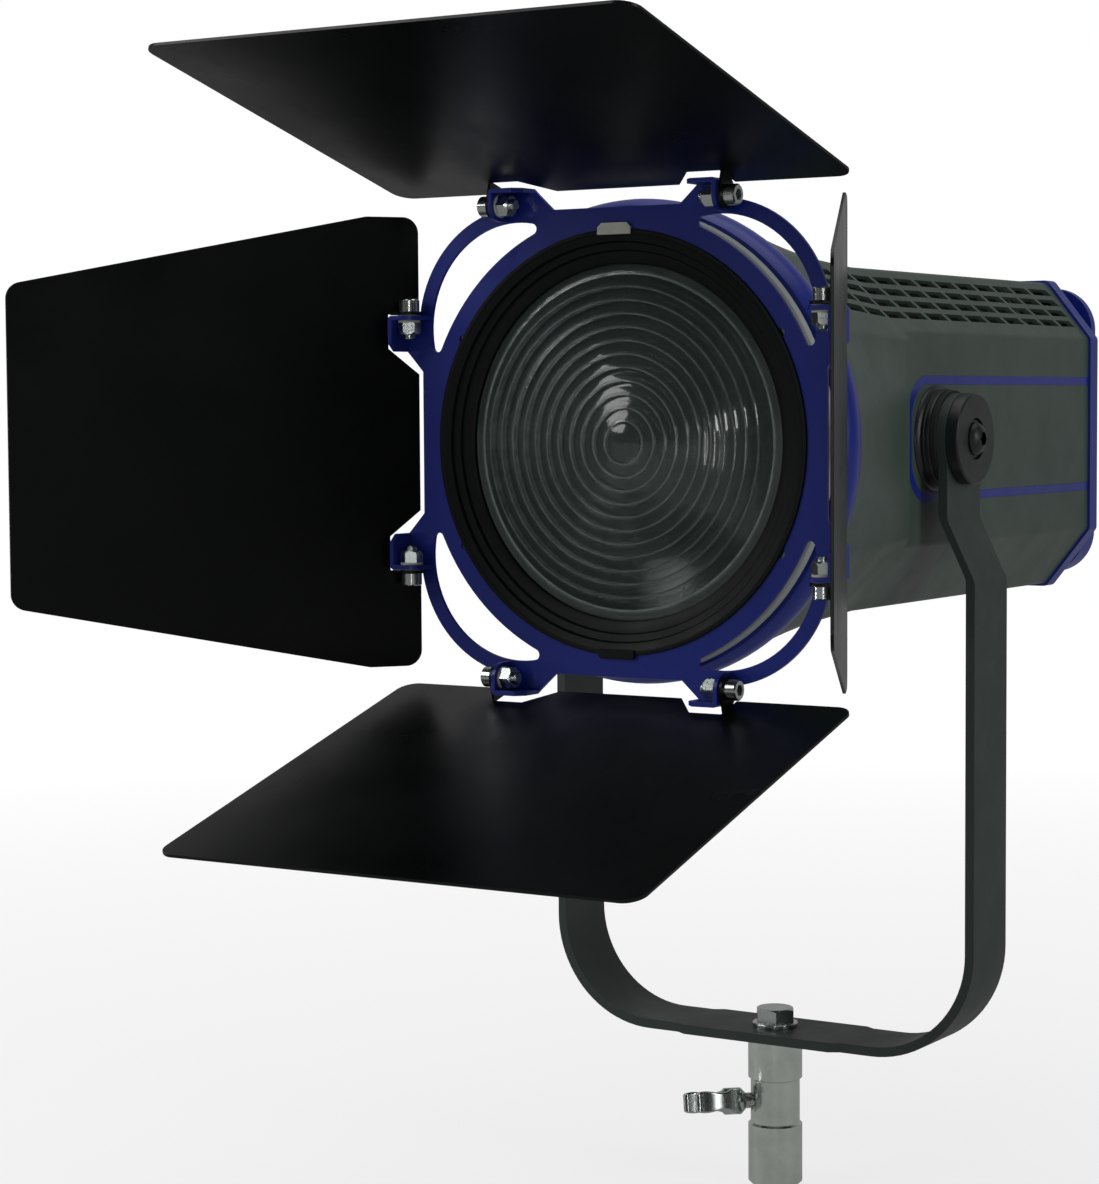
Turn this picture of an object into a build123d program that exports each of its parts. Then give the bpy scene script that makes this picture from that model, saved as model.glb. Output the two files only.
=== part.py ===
from build123d import *
import math
import os

# Fresnel spotlight on a stand yoke.
# Millimetres, +Z up. The light leaves along -Y, +X is to the right seen from the front of the lamp
# looking back along +Y. The origin is the centre of the spigot's lower face, where the lamp meets
# its stand.
# The lamp head, its barndoor and everything inside are drawn around the optical axis, with y = 0 at
# the front face of the barndoor plate, and are then lifted into the yoke by HEAD.

# ---------------------------------------------------------------- driving dimensions
CLEARANCE = 0.05          # running gap between a turning piece and its seat
CLOSE_GAP = 0.02          # gap between two pieces that are fixed to each other

# spigot, 28.6 mm junior pin with a 16 mm baby socket
SPIGOT_RADIUS = 14.3
SPIGOT_LENGTH = 79.0
SPIGOT_FOOT = 33.0        # height of the lower full-diameter part
SPIGOT_GROOVE_TOP = 56.0
SPIGOT_GROOVE_RADIUS = 13.0
SOCKET_RADIUS = 8.05
SOCKET_DEPTH = 56.0
WING_SHANK_RADIUS = 4.0
WING_SEAT = SPIGOT_GROOVE_RADIUS
WING_HEIGHT = (SPIGOT_FOOT + SPIGOT_GROOVE_TOP) / 2
WING_HEADING = 221.3      # points forward and to the left, about the spigot's axis
WING_HUB_START = 16.6
WING_HUB_END = 29.8
WING_HUB_RADIUS = 7.0
WING_REACH = 20.0         # half of the span that the wings may fill
WING_ROLL = 14.0          # turn of the wings out of the level, about the screw's axis
WING_EDGE_ROUND = 0.9
WING_PLACE = Pos(0, 0, WING_HEIGHT) * Rot(0, 0, WING_HEADING)
WING_LEADING = ((19.0, 4.0), (24.5, 12.0), (33.5, 17.4), (43.6, 18.4))     # plan of the upper wing
WING_TIP = ((43.6, 18.4), (46.4, 16.2), (44.2, 13.6))
WING_TRAILING = ((44.2, 13.6), (36.8, 12.2), (30.6, 8.2), (28.4, 3.0))
WING_CROWN = ((18.0, 6.2), (24.5, 6.4), (31.0, 4.4), (38.0, 5.3), (46.6, 4.4))   # half thickness along it
SEAT_DEPTH = 2.6          # countersink of the clamping screw in the spigot
SEAT_FLARE = 3.2
BOLT_RADIUS = 6.0
BOLT_DEPTH = 16.0
BOLT_FLATS = 19.0
BOLT_HEAD = 7.5
BOLT_WASHER_RADIUS = 12.0
BOLT_WASHER = 2.5
BOLT_GAP = 0.3

# yoke, bent flat bar
BAR_WIDTH = 40.0
BAR_THICKNESS = 5.0
BAR_CENTRE_WIDTH = 46.0   # widened land round the spigot bolt
BAR_CENTRE_HALF = 43.0
PIVOT_DROP = 310.5        # tilt axis above the top face of the bar
ARM_OUTER_LOW = 122.6     # outer face of the lower arms
ARM_OUTER_TOP = 107.6     # outer face of the jogged upper ends
JOG_TOP = 40.0            # start and end of the jog below the tilt axis
JOG_BOTTOM = 71.0
YOKE_CORNER = 52.0
JOG_ROUND = 9.0
JOG_SHIFT = 1.2           # the inner bends of the jog lie this much above the outer ones
LAND_TAPER = 5.0
ARM_EYE_RADIUS = 23.0
PIVOT_Z = SPIGOT_LENGTH + BAR_THICKNESS + PIVOT_DROP
PIVOT_TO_PLATE = 160.0    # tilt axis behind the front face of the barndoor plate
HEAD = Pos(0, -PIVOT_TO_PLATE, PIVOT_Z)

# barndoor frame
PLATE_HALF = 111.7
PLATE_THICKNESS = 2.0
PLATE_HOLE_RADIUS = 101.5
PLATE_RING_RADIUS = 110.6
CORNER_CENTRE = 54.8      # centre of the outer corner arcs, in x and in z
CORNER_RADIUS = 59.0
SLOT_CENTRE = 55.8
SLOT_RADIUS = 50.5
TAB_INNER = 44.5          # hinge tabs, from TAB_INNER to TAB_OUTER along the hinge axis
TAB_OUTER = 62.5
TAB_TOP = 122.0
TAB_WALL = 2.2
TAB_BEND = 2.1            # outer rounding of the bent-up corner
TAB_REACH = 7.4           # radius of a hinge flange round the hinge axis
STRAIGHT_HALF = 35.0      # straight edge between the two tabs of one side
SLOT_END_ROUND = 2.6
NOTCH_RADIUS = 2.0
NOTCH_ANGLES = (30, 150, 210, 330)

# hinges and leaves
HINGE_RADIUS = 114.0      # hinge axis from the optical axis
HINGE_Y = -8.0            # hinge axis in front of the plate
HINGE_SCREW_RADIUS = 3.0
HINGE_HEAD_END = 70.6
HINGE_TIP = 51.0
HINGE_HEAD_RADIUS = 5.0
HINGE_HEAD = 6.0
HINGE_KEY = 5.0
HINGE_NUT_FLATS = 10.0
HINGE_NUT = 6.0
HINGE_WASHER_RADIUS = 5.6
LEAF_THICKNESS = 1.5
LEAF_OFFSET = 9.0         # inner face of a leaf from its hinge axis
LEAF_NEAR = -8.0
LEAF_FAR = 197.0
WIDE_LEAF_HALF = 125.0
NARROW_LEAF_HALF = 111.5
NARROW_LEAF_END = 76.5
NARROW_LEAF_PARALLEL = 19.0
LEAF_EAR_INNER = 63.0
LEAF_EAR_RADIUS = 6.5
LEAF_NOTCH_INNER = 33.8   # slanted notch that frees each hinge tab
LEAF_NOTCH_OUTER = 46.5
WIDE_LEAF_ROUND = 9.0
NARROW_LEAF_ROUND = 8.0
LEAF_REST = {"top": 15.6, "right": 25.0, "bottom": 16.9, "left": 36.6}
SIDE_TURN = {"top": 0, "right": 90, "bottom": 180, "left": 270}

# snout and lens
RIM_RADIUS = PLATE_HOLE_RADIUS - CLEARANCE
RIM_FRONT = -1.0          # the rim stands this far in front of the plate
CLIP_THICKNESS = 0.8
TOP_CLIP = (18.5, 98.6, 104.3, 2.2)      # width, lower edge, upper edge and corner bevel of a clip
BOTTOM_CLIP = (20.0, 98.2, 103.0, 1.2)
LENS_OPENING = 85.4
LENS_RADIUS = 89.0
LENS_PITCH = 6.4
LENS_EYE_RADIUS = 9.7
LENS_RINGS = 11
LENS_BACK = 14.0          # depths of the lens behind the plate's front face
LENS_FLANGE = 9.0
LENS_VALLEY = 7.6
LENS_EYE = 5.0
BEZEL_REAR = 20.0
RETAINER_INNER = 84.0
RETAINER_OUTER = 96.0
FRONT_RING_RADIUS = 116.5

# housing
WALL = 2.5
SHELL_FRONT = 30.0
SHELL_ROUND_RADIUS = 113.5
BROW_Y = 122.0            # the side panels are sunk behind this line
BROW_HALF_WIDTH = 95.5
BROW_START = BROW_Y - 5.0
SHELL_REAR = 363.0
SHELL_HALF_WIDTH = 92.5
SHELL_HALF_HEIGHT = 85.5
SHELL_CORNER_X = 67.0
SHELL_CORNER_Z = 53.3
CHAMFER_RUN = SHELL_HALF_WIDTH - SHELL_CORNER_X
CHAMFER_RISE = SHELL_HALF_HEIGHT - SHELL_CORNER_Z
BROW_CORNER_Z = SHELL_CORNER_Z - (BROW_HALF_WIDTH - SHELL_HALF_WIDTH) * CHAMFER_RISE / CHAMFER_RUN
SHELL_CORNER_ROUND = 4.0
BEZEL_PROUD = 1.5
BEZEL_DEPTH = 12.0
BEZEL_LIP = 10.0          # width of the lip that holds the rear panel
VENT_PITCH = 24.6
VENT_FIRST = 56.4
VENT_LAST = 353.0
VENT_HEIGHT = 4.4
VENT_SLANT = 4.0
VENT_BAR = 4.0
VENT_ROWS = (33.3, 25.8, 18.3, 10.8)   # row centres up the chamfer from its lower edge
VENT_SHIFT = 2.3
VENT_CUT = 14.0
STRIPE_HALF = 31.8
STRIPE_WIDTH = 4.5
STRIPE_FRONT = 126.0
STRIPE_CORNER = 22.0
STRIPE_DEPTH = 1.0
STRIPE_PROUD = 0.25

# tilt pivot
BOSS_RADIUS = 25.2
BOSS_END = 99.5
BOSS_FLARE = 27.0
BOSS_PLUG_RADIUS = 8.9
BOSS_PLUG_END = 84.0
FRICTION_END = 102.55
PIVOT_SCREW_RADIUS = 5.0
BUSH_RADIUS = 8.0
CAP_RADIUS = 23.0
CAP_END = 114.3
CAP_RECESS = 2.6
CAP_RECESS_RADIUS = 10.4
STUD_START = 86.0
STUD_END = 127.0
KNOB_LOBES = 5
KNOB_LOBE_RADIUS = 8.5
KNOB_LOBE_CENTRE = 15.5
KNOB_HUB_RADIUS = 17.5
KNOB_THICKNESS = 20.0

# focus carriage and drive
CARRIAGE_Y = 130.0        # front face of the carriage plate at rest
CARRIAGE_PLATE = 5.0
ROD_X = 70.0
ROD_RADIUS = 5.0
ROD_FRONT = 40.0
ROD_REAR = 300.0
BULKHEAD_RADIUS = 105.0
BULKHEAD_THICKNESS = 4.0
BUSHING_RADIUS = 9.0
NUT_RADIUS = 7.0
LED_BOARD = 54.0
SCREW_Z = -56.0
LEAD_SCREW_RADIUS = 4.0
SINK_HALF = 58.0
SINK_HALF_HEIGHT = 43.0
SINK_DEPTH = 78.0
FIN_PITCH = 5.8
FIN_THICKNESS = 1.4
FAN_HALF = 43.0
FAN_DEPTH = 25.0
FAN_BLADES = 7
FAN_HUB_RADIUS = 18.0
FAN_PITCH_ANGLE = 38
FAN_BLADE_THICKNESS = 1.8
FAN_START = CARRIAGE_Y + CARRIAGE_PLATE + SINK_DEPTH

# rear panel
PANEL_Y = SHELL_REAR + 4.0
PANEL_THICKNESS = 3.0
GUARD_FRONT = SHELL_REAR + BEZEL_DEPTH
GUARD_REAR = GUARD_FRONT + 17.0
BUTTON_X = (-25.5, -8.5, 8.5, 25.5)
BUTTON_Z = 14.0
BUTTON_RADIUS = 4.0
DIMMER_X = 52.0
DIMMER_Z = 38.0
DISPLAY_Z = 42.0
DISPLAY_WIDTH = 58.0
DISPLAY_HEIGHT = 30.0
SOCKET_X = 26.0
SOCKET_Z = -26.0
SOCKET_BARREL = 11.9
SOCKET_BORE = 10.0
POWER_X = -54.0
POWER_Z = 26.0
POWER_BARREL = 13.9
POWER_BORE = 12.0
SLOT_BANK_X = 56.0
SLOT_BANK_TOP = -8.0
SLOT_BANK_PITCH = 6.0
SLOT_BANK_COUNT = 6
FOCUS_KNOB_RADIUS = 12.0
FOCUS_KNOB_LENGTH = 18.0
DIMMER_RADIUS = 10.5
DIMMER_LENGTH = 15.0
DIMMER_SHAFT_RADIUS = 3.0
KNOB_FLUTES = 16
KNOB_SEAT = PANEL_Y + PANEL_THICKNESS + 0.3
PANEL_SCREW_HOLE = 1.6
PANEL_SCREWS = ((-86.0, 20.0), (86.0, 20.0), (-86.0, -20.0), (86.0, -20.0), (-40.0, 79.0), (40.0, 79.0))

# rear guard
GUARD_HALF_WIDTH = 86.0
GUARD_TOP = 83.0
GUARD_BOTTOM = -80.0
GUARD_CORNER = 24.0
GUARD_BAR = 9.0
GUARD_HOOP = 8.0
GUARD_SIDE_Z = 46.0

# electronics
BOARD_Z = -44.0
BOARD_THICKNESS = 1.6
BOARD_Y = 326.0
CAPACITORS = ((-40.0, 0.0, 16.0, 7.0), (-20.0, 6.0, 12.0, 5.0), (44.0, -4.0, 14.0, 6.0))
SUPPLY_Y = 321.0
SUPPLY_Z = 46.0
SUPPLY_WIDTH = 110.0
SUPPLY_DEPTH = 40.0
SUPPLY_HEIGHT = 52.0
SUPPLY_HOLE_PITCH = 10.0
SUPPLY_HOLE_RADIUS = 2.6


# ---------------------------------------------------------------- shape helpers
def face_of(points):
    """A flat face from its corner points."""
    return make_face(Polyline(*points, close=True))


def slab(face, front, rear):
    """A face drawn in x and z, given depth from y = front to y = rear."""
    plane = Plane(origin=(0, rear, 0), x_dir=(1, 0, 0), z_dir=(0, -1, 0))
    return extrude(plane * face, rear - front)


def side_slab(face, low, high):
    """A face drawn in y and z, given width from x = low to x = high."""
    return extrude(Plane.YZ.offset(low) * face, high - low)


def turned_y(points):
    """A body of revolution round the y axis, from (radius, y) points."""
    return revolve(face_of(points), Axis.Y)


def turned_x(points):
    """A body of revolution round the x axis, from (x, radius) points."""
    return revolve(face_of(points), Axis.X)


def turned_z(points):
    """A body of revolution round the z axis, from (radius, z) points."""
    return revolve(Plane.XZ * face_of(points), Axis.Z)


def rod_y(radius, front, rear, x=0.0, z=0.0):
    return slab(Pos(x, z) * Circle(radius), front, rear)


def rod_x(radius, low, high, y=0.0, z=0.0):
    return side_slab(Pos(y, z) * Circle(radius), low, high)


def ring_face(outer, inner):
    return Circle(outer) - Circle(inner)


def round_corners(face, corners, radius):
    """Rounds the corners of a face that lie at the given points."""
    for x, y in corners:
        corner = face.vertices().sort_by_distance((x, y, 0))[0]
        face = fillet(corner, radius)
    return face


def hexagon(flats):
    return RegularPolygon(flats / math.sqrt(3), 6)


def octagon_corners(half_width, half_height, corner_x, corner_z):
    return [
        (half_width, -corner_z),
        (half_width, corner_z),
        (corner_x, half_height),
        (-corner_x, half_height),
        (-half_width, corner_z),
        (-half_width, -corner_z),
        (-corner_x, -half_height),
        (corner_x, -half_height),
    ]


def inset_octagon(half_width, corner_z, inset):
    """Corner sizes of a housing octagon whose every side is moved inwards by inset."""
    chamfer_bearing = math.atan2(CHAMFER_RUN, CHAMFER_RISE)
    side_shift = inset * math.tan(chamfer_bearing / 2)
    top_shift = inset * math.tan((math.pi / 2 - chamfer_bearing) / 2)
    return half_width - inset, SHELL_HALF_HEIGHT - inset, SHELL_CORNER_X - top_shift, corner_z - side_shift


def octagon_face(half_width, corner_z, inset=0.0):
    corners = octagon_corners(*inset_octagon(half_width, corner_z, inset))
    return round_corners(face_of(corners), corners, SHELL_CORNER_ROUND)


def shell_octagon(inset=0.0):
    """The housing's cross-section, moved inwards all round by inset."""
    return octagon_face(SHELL_HALF_WIDTH, SHELL_CORNER_Z, inset)


# ---------------------------------------------------------------- yoke and spigot
def yoke():
    bottom = PIVOT_Z - PIVOT_DROP - BAR_THICKNESS
    top = PIVOT_Z + ARM_EYE_RADIUS
    jog_top = PIVOT_Z - JOG_TOP
    jog_bottom = PIVOT_Z - JOG_BOTTOM
    outer = [
        (ARM_OUTER_TOP, top),
        (ARM_OUTER_TOP, jog_top),
        (ARM_OUTER_LOW, jog_bottom),
        (ARM_OUTER_LOW, bottom),
    ]
    inner = [
        (ARM_OUTER_LOW - BAR_THICKNESS, bottom + BAR_THICKNESS),
        (ARM_OUTER_LOW - BAR_THICKNESS, jog_bottom + JOG_SHIFT),
        (ARM_OUTER_TOP - BAR_THICKNESS, jog_top + JOG_SHIFT),
        (ARM_OUTER_TOP - BAR_THICKNESS, top),
    ]
    right = outer + [(0, bottom), (0, bottom + BAR_THICKNESS)] + inner
    half = face_of(right)
    half = round_corners(half, [outer[3]], YOKE_CORNER + BAR_THICKNESS)
    half = round_corners(half, [inner[0]], YOKE_CORNER)
    half = round_corners(half, [outer[1], outer[2], inner[1], inner[2]], JOG_ROUND)
    outline = half + mirror(half, Plane.YZ)
    half_land = BAR_CENTRE_WIDTH / 2
    bar = slab(outline, -half_land, half_land)

    side = Rectangle(BAR_WIDTH, PIVOT_Z * 2) + Pos(0, PIVOT_Z) * Circle(ARM_EYE_RADIUS)
    low_land = Pos(0, bottom) * Rectangle(BAR_CENTRE_WIDTH, BAR_THICKNESS * 3)
    side_limit = Pos(0, PIVOT_Z + BAR_WIDTH) * Rectangle(BAR_WIDTH * 2, BAR_WIDTH * 2)
    side = side - side_limit + Pos(0, PIVOT_Z) * Circle(ARM_EYE_RADIUS) + low_land
    bar = bar & side_slab(side, -ARM_OUTER_LOW - 1, ARM_OUTER_LOW + 1)

    half_bar = BAR_WIDTH / 2
    land = face_of([
        (-BAR_CENTRE_HALF, -half_land),
        (BAR_CENTRE_HALF, -half_land),
        (BAR_CENTRE_HALF + LAND_TAPER, -half_bar),
        (BAR_CENTRE_HALF + LAND_TAPER, half_bar),
        (BAR_CENTRE_HALF, half_land),
        (-BAR_CENTRE_HALF, half_land),
        (-BAR_CENTRE_HALF - LAND_TAPER, half_bar),
        (-BAR_CENTRE_HALF - LAND_TAPER, -half_bar),
    ])
    plan = land + Rectangle(ARM_OUTER_LOW * 2 + 2, BAR_WIDTH)
    low_part = Pos(0, 0, bottom - 1) * extrude(plan, BAR_THICKNESS * 3)
    high_start = bottom - 1 + BAR_THICKNESS * 3
    whole_width = Rectangle(ARM_OUTER_LOW * 2 + 2, BAR_CENTRE_WIDTH + 2)
    high_part = Pos(0, 0, high_start) * extrude(whole_width, PIVOT_Z)
    bar = bar & (low_part + high_part)

    bolt_hole = Pos(0, 0, bottom + BAR_THICKNESS / 2) * Cylinder(BOLT_RADIUS + BOLT_GAP, BAR_THICKNESS * 2)
    eyes = rod_x(BUSH_RADIUS, -ARM_OUTER_LOW, ARM_OUTER_LOW, 0, PIVOT_Z)
    return bar - bolt_hole - eyes


def pivot_bushings():
    """Plain bushes pressed into the two arm eyes."""
    bush = turned_x([
        (ARM_OUTER_TOP - BAR_THICKNESS, PIVOT_SCREW_RADIUS + CLEARANCE),
        (ARM_OUTER_TOP, PIVOT_SCREW_RADIUS + CLEARANCE),
        (ARM_OUTER_TOP, BUSH_RADIUS),
        (ARM_OUTER_TOP - BAR_THICKNESS, BUSH_RADIUS),
    ])
    return Pos(0, 0, PIVOT_Z) * (bush + mirror(bush, Plane.YZ))


def spigot():
    chamfer = 1.6
    fillet_step = 1.0
    body = turned_z([
        (0, 0),
        (SPIGOT_RADIUS - chamfer, 0),
        (SPIGOT_RADIUS, chamfer),
        (SPIGOT_RADIUS, SPIGOT_FOOT - fillet_step),
        (SPIGOT_GROOVE_RADIUS, SPIGOT_FOOT),
        (SPIGOT_GROOVE_RADIUS, SPIGOT_GROOVE_TOP),
        (SPIGOT_RADIUS, SPIGOT_GROOVE_TOP + fillet_step),
        (SPIGOT_RADIUS, SPIGOT_LENGTH),
        (0, SPIGOT_LENGTH),
    ])
    socket = Pos(0, 0, SOCKET_DEPTH / 2) * Cylinder(SOCKET_RADIUS, SOCKET_DEPTH)
    thread = Pos(0, 0, SPIGOT_LENGTH - BOLT_DEPTH / 2) * Cylinder(BOLT_RADIUS + CLEARANCE, BOLT_DEPTH + 1)
    body = body - socket - thread
    seat = turned_x([
        (0, 0),
        (0, WING_SHANK_RADIUS + CLEARANCE),
        (WING_SEAT - SEAT_DEPTH, WING_SHANK_RADIUS + CLEARANCE),
        (WING_SEAT + 1.0, WING_SHANK_RADIUS + SEAT_FLARE),
        (WING_SEAT + 1.0, 0),
    ])
    return body - WING_PLACE * seat


def yoke_bolt():
    under = PIVOT_Z - PIVOT_DROP + BOLT_WASHER
    shank_length = BOLT_WASHER + BAR_THICKNESS + BOLT_DEPTH - 1
    head = Pos(0, 0, under) * extrude(hexagon(BOLT_FLATS), BOLT_HEAD)
    crown = turned_z([
        (0, under - 1),
        (BOLT_FLATS / 2 + 1.4, under - 1),
        (BOLT_FLATS / 2 + 1.4, under + BOLT_HEAD - 1.1),
        (BOLT_FLATS / 2 - 0.4, under + BOLT_HEAD),
        (0, under + BOLT_HEAD),
    ])
    shank = Pos(0, 0, under - shank_length / 2) * Cylinder(BOLT_RADIUS, shank_length)
    return (head & crown) + shank


def yoke_bolt_washer():
    low = PIVOT_Z - PIVOT_DROP
    edge = 0.5
    return turned_z([
        (BOLT_RADIUS + BOLT_GAP, low),
        (BOLT_WASHER_RADIUS, low),
        (BOLT_WASHER_RADIUS, low + BOLT_WASHER - edge),
        (BOLT_WASHER_RADIUS - edge, low + BOLT_WASHER),
        (BOLT_RADIUS + BOLT_GAP, low + BOLT_WASHER),
    ])


def wing_screw():
    """Clamping screw with two swept wings, drawn along +X from the spigot's axis."""
    tip = SOCKET_RADIUS + 0.6
    shaft = turned_x([
        (tip, 0),
        (tip, WING_SHANK_RADIUS - 1.0),
        (tip + 1.0, WING_SHANK_RADIUS),
        (WING_HUB_START, WING_SHANK_RADIUS),
        (WING_HUB_START, 4.6),
        (WING_HUB_START + 2.4, WING_HUB_RADIUS),
        (WING_HUB_END - 2.2, WING_HUB_RADIUS),
        (WING_HUB_END, 4.8),
        (WING_HUB_END, 0),
    ])
    plan = make_face(Curve() + [
        Spline(*WING_LEADING),
        ThreePointArc(*WING_TIP),
        Spline(*WING_TRAILING),
        Line(WING_TRAILING[-1], WING_LEADING[0]),
    ])
    underside = [(along, -half) for along, half in reversed(WING_CROWN)]
    crown = make_face(Curve() + [
        Spline(*WING_CROWN),
        Line(WING_CROWN[-1], underside[0]),
        Spline(*underside),
        Line(underside[-1], WING_CROWN[0]),
    ])
    blade = extrude(plan, WING_HUB_RADIUS, both=True)
    blade = blade & extrude(Plane.XZ * crown, WING_REACH, both=True)
    blade = fillet(blade.edges(), WING_EDGE_ROUND)
    wings = blade + mirror(blade, Plane.XZ)
    return WING_PLACE * (shaft + Rot(WING_ROLL, 0, 0) * wings)


# ---------------------------------------------------------------- barndoor
def plate_outline():
    """The flat outline of the barndoor plate, with its corner bands and hinge tabs."""
    slant_end = TAB_TOP - 2.5
    tab_half = [
        (STRAIGHT_HALF, PLATE_HALF),
        (TAB_INNER - 1.0, slant_end),
        (TAB_INNER + 1.5, TAB_TOP),
        (TAB_OUTER, TAB_TOP),
    ]
    arm_points = [(-x, z) for x, z in reversed(tab_half)]
    arm_points = [(-TAB_OUTER, 0)] + arm_points + tab_half + [(TAB_OUTER, 0)]
    arm = round_corners(face_of(arm_points), [(-TAB_OUTER, TAB_TOP), (TAB_OUTER, TAB_TOP)], TAB_BEND)
    outline = Circle(PLATE_RING_RADIUS)
    for turn in SIDE_TURN.values():
        outline = outline + Rot(0, 0, -turn) * arm
    for sx in (-1, 1):
        for sz in (-1, 1):
            outline = outline + Pos(sx * CORNER_CENTRE, sz * CORNER_CENTRE) * Circle(CORNER_RADIUS)
    return outline


def corner_slot():
    """Crescent opening between the ring and one corner band."""
    slot = Pos(SLOT_CENTRE, SLOT_CENTRE) * Circle(SLOT_RADIUS) - Circle(PLATE_RING_RADIUS)
    return fillet(slot.vertices(), SLOT_END_ROUND)


def hinge_tab():
    """Bent-up wall of the right-hand tab on the top side: a lip and a hinge flange."""
    flange_face = Pos(HINGE_Y, HINGE_RADIUS) * Circle(TAB_REACH) + face_of([
        (0, HINGE_RADIUS - TAB_REACH),
        (0, TAB_TOP),
        (HINGE_Y - TAB_REACH, TAB_TOP),
        (HINGE_Y - TAB_REACH, HINGE_RADIUS),
        (HINGE_Y, HINGE_RADIUS - TAB_REACH),
    ])
    flange_wall = side_slab(flange_face, TAB_OUTER - TAB_WALL, TAB_OUTER)
    lip_face = face_of([
        (TAB_INNER + 0.5, 0),
        (TAB_INNER + 0.5, HINGE_Y - 3.0),
        (TAB_INNER + 4.5, HINGE_Y - TAB_REACH),
        (TAB_OUTER, HINGE_Y - TAB_REACH),
        (TAB_OUTER, 0),
    ])
    lip = Pos(0, 0, TAB_TOP - TAB_WALL) * extrude(lip_face, TAB_WALL)
    wall = flange_wall + lip
    bend = wall.edges().filter_by(Axis.Y).sort_by_distance((TAB_OUTER, HINGE_Y / 2, TAB_TOP))[0]
    return fillet(bend, TAB_BEND)


def barndoor_frame():
    outline = plate_outline() - Circle(PLATE_HOLE_RADIUS)
    for quarter in range(4):
        outline = outline - Rot(0, 0, 90 * quarter) * corner_slot()
    for angle in NOTCH_ANGLES:
        outline = outline - Rot(0, 0, angle) * Pos(PLATE_HOLE_RADIUS, 0) * Circle(NOTCH_RADIUS)
    frame = slab(outline, 0, PLATE_THICKNESS)
    wall = hinge_tab()
    for turn in SIDE_TURN.values():
        for tab in (wall, mirror(wall, Plane.YZ)):
            frame = frame + Rot(0, turn, 0) * tab
    hole = rod_x(HINGE_SCREW_RADIUS + CLEARANCE, -TAB_OUTER - 1, TAB_OUTER + 1, HINGE_Y, HINGE_RADIUS)
    for turn in SIDE_TURN.values():
        frame = frame - Rot(0, turn, 0) * hole
    return HEAD * frame


def at_hinges(piece):
    """Copies of a piece of hinge hardware, drawn along +X on the hinge axis, at all eight hinges."""
    copies = []
    for turn in SIDE_TURN.values():
        for half_turn in (0, 180):
            place = Rot(0, turn, 0) * Pos(0, HINGE_Y, HINGE_RADIUS) * Rot(0, 0, half_turn)
            copies.append(HEAD * place * piece)
    return Compound(children=copies)


def hinge_screws():
    head_start = HINGE_HEAD_END - HINGE_HEAD
    screw = turned_x([
        (HINGE_TIP, 0),
        (HINGE_TIP, 2.4),
        (HINGE_TIP + 0.8, HINGE_SCREW_RADIUS),
        (head_start, HINGE_SCREW_RADIUS),
        (head_start, HINGE_HEAD_RADIUS),
        (HINGE_HEAD_END - 0.6, HINGE_HEAD_RADIUS),
        (HINGE_HEAD_END, HINGE_HEAD_RADIUS - 0.6),
        (HINGE_HEAD_END, 0),
    ])
    key = extrude(Plane.YZ.offset(HINGE_HEAD_END - HINGE_HEAD / 2) * hexagon(HINGE_KEY), HINGE_HEAD)
    return at_hinges(screw - key)


def hinge_nuts():
    start = HINGE_TIP + 2.1
    nut = extrude(Plane.YZ.offset(start) * hexagon(HINGE_NUT_FLATS), HINGE_NUT)
    crown = turned_x([
        (start - 1.0, 0),
        (start - 1.0, 4.1),
        (start + 1.6, 5.8),
        (start + HINGE_NUT, 5.8),
        (start + HINGE_NUT, 0),
    ])
    return at_hinges((nut & crown) - rod_x(HINGE_SCREW_RADIUS + CLOSE_GAP, 0, TAB_OUTER))


def hinge_washers():
    """A steel washer under each nut and a nylon one between each tab and leaf ear."""
    inner_end = TAB_OUTER - TAB_WALL
    face = ring_face(HINGE_WASHER_RADIUS, HINGE_SCREW_RADIUS + 0.03)
    steel = side_slab(face, inner_end - 1.15, inner_end - CLOSE_GAP)
    nylon = side_slab(face, TAB_OUTER + CLOSE_GAP, LEAF_EAR_INNER - CLEARANCE)
    return at_hinges(steel + nylon)


def leaf(corners, rounding, side):
    """A sheet leaf from the outline corners of its right half, with its two bent ears."""
    outline = corners + [(-x, y) for x, y in reversed(corners)]
    sheet = face_of(outline)
    sheet = round_corners(sheet, outline, rounding)
    near = -LEAF_NEAR
    notch = [
        (LEAF_NOTCH_INNER, near),
        (LEAF_NOTCH_OUTER, LEAF_NEAR),
        (LEAF_EAR_INNER + 0.4, LEAF_NEAR),
        (LEAF_EAR_INNER + 0.4, near + 1),
        (LEAF_NOTCH_INNER - 0.8, near + 1),
    ]
    notch_face = face_of(notch)
    sheet = sheet - notch_face - mirror(notch_face, Plane.YZ)
    blade = Pos(0, 0, LEAF_OFFSET) * extrude(sheet, LEAF_THICKNESS)
    ear_face = Circle(LEAF_EAR_RADIUS) + face_of([
        (3.0, 0),
        (3.0, LEAF_OFFSET + LEAF_THICKNESS),
        (-LEAF_EAR_RADIUS, LEAF_OFFSET + LEAF_THICKNESS),
        (-LEAF_EAR_RADIUS, 0),
    ])
    ear_face = ear_face - Circle(HINGE_SCREW_RADIUS + CLEARANCE)
    ear = side_slab(ear_face, LEAF_EAR_INNER, LEAF_EAR_INNER + LEAF_THICKNESS)
    blade = blade + ear + mirror(ear, Plane.YZ)
    place = Rot(0, SIDE_TURN[side], 0) * Pos(0, HINGE_Y, HINGE_RADIUS) * Rot(-LEAF_REST[side], 0, 0)
    return HEAD * place * blade


def wide_leaf(side):
    corners = [(WIDE_LEAF_HALF, -LEAF_NEAR), (WIDE_LEAF_HALF, -LEAF_FAR)]
    return leaf(corners, WIDE_LEAF_ROUND, side)


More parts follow.
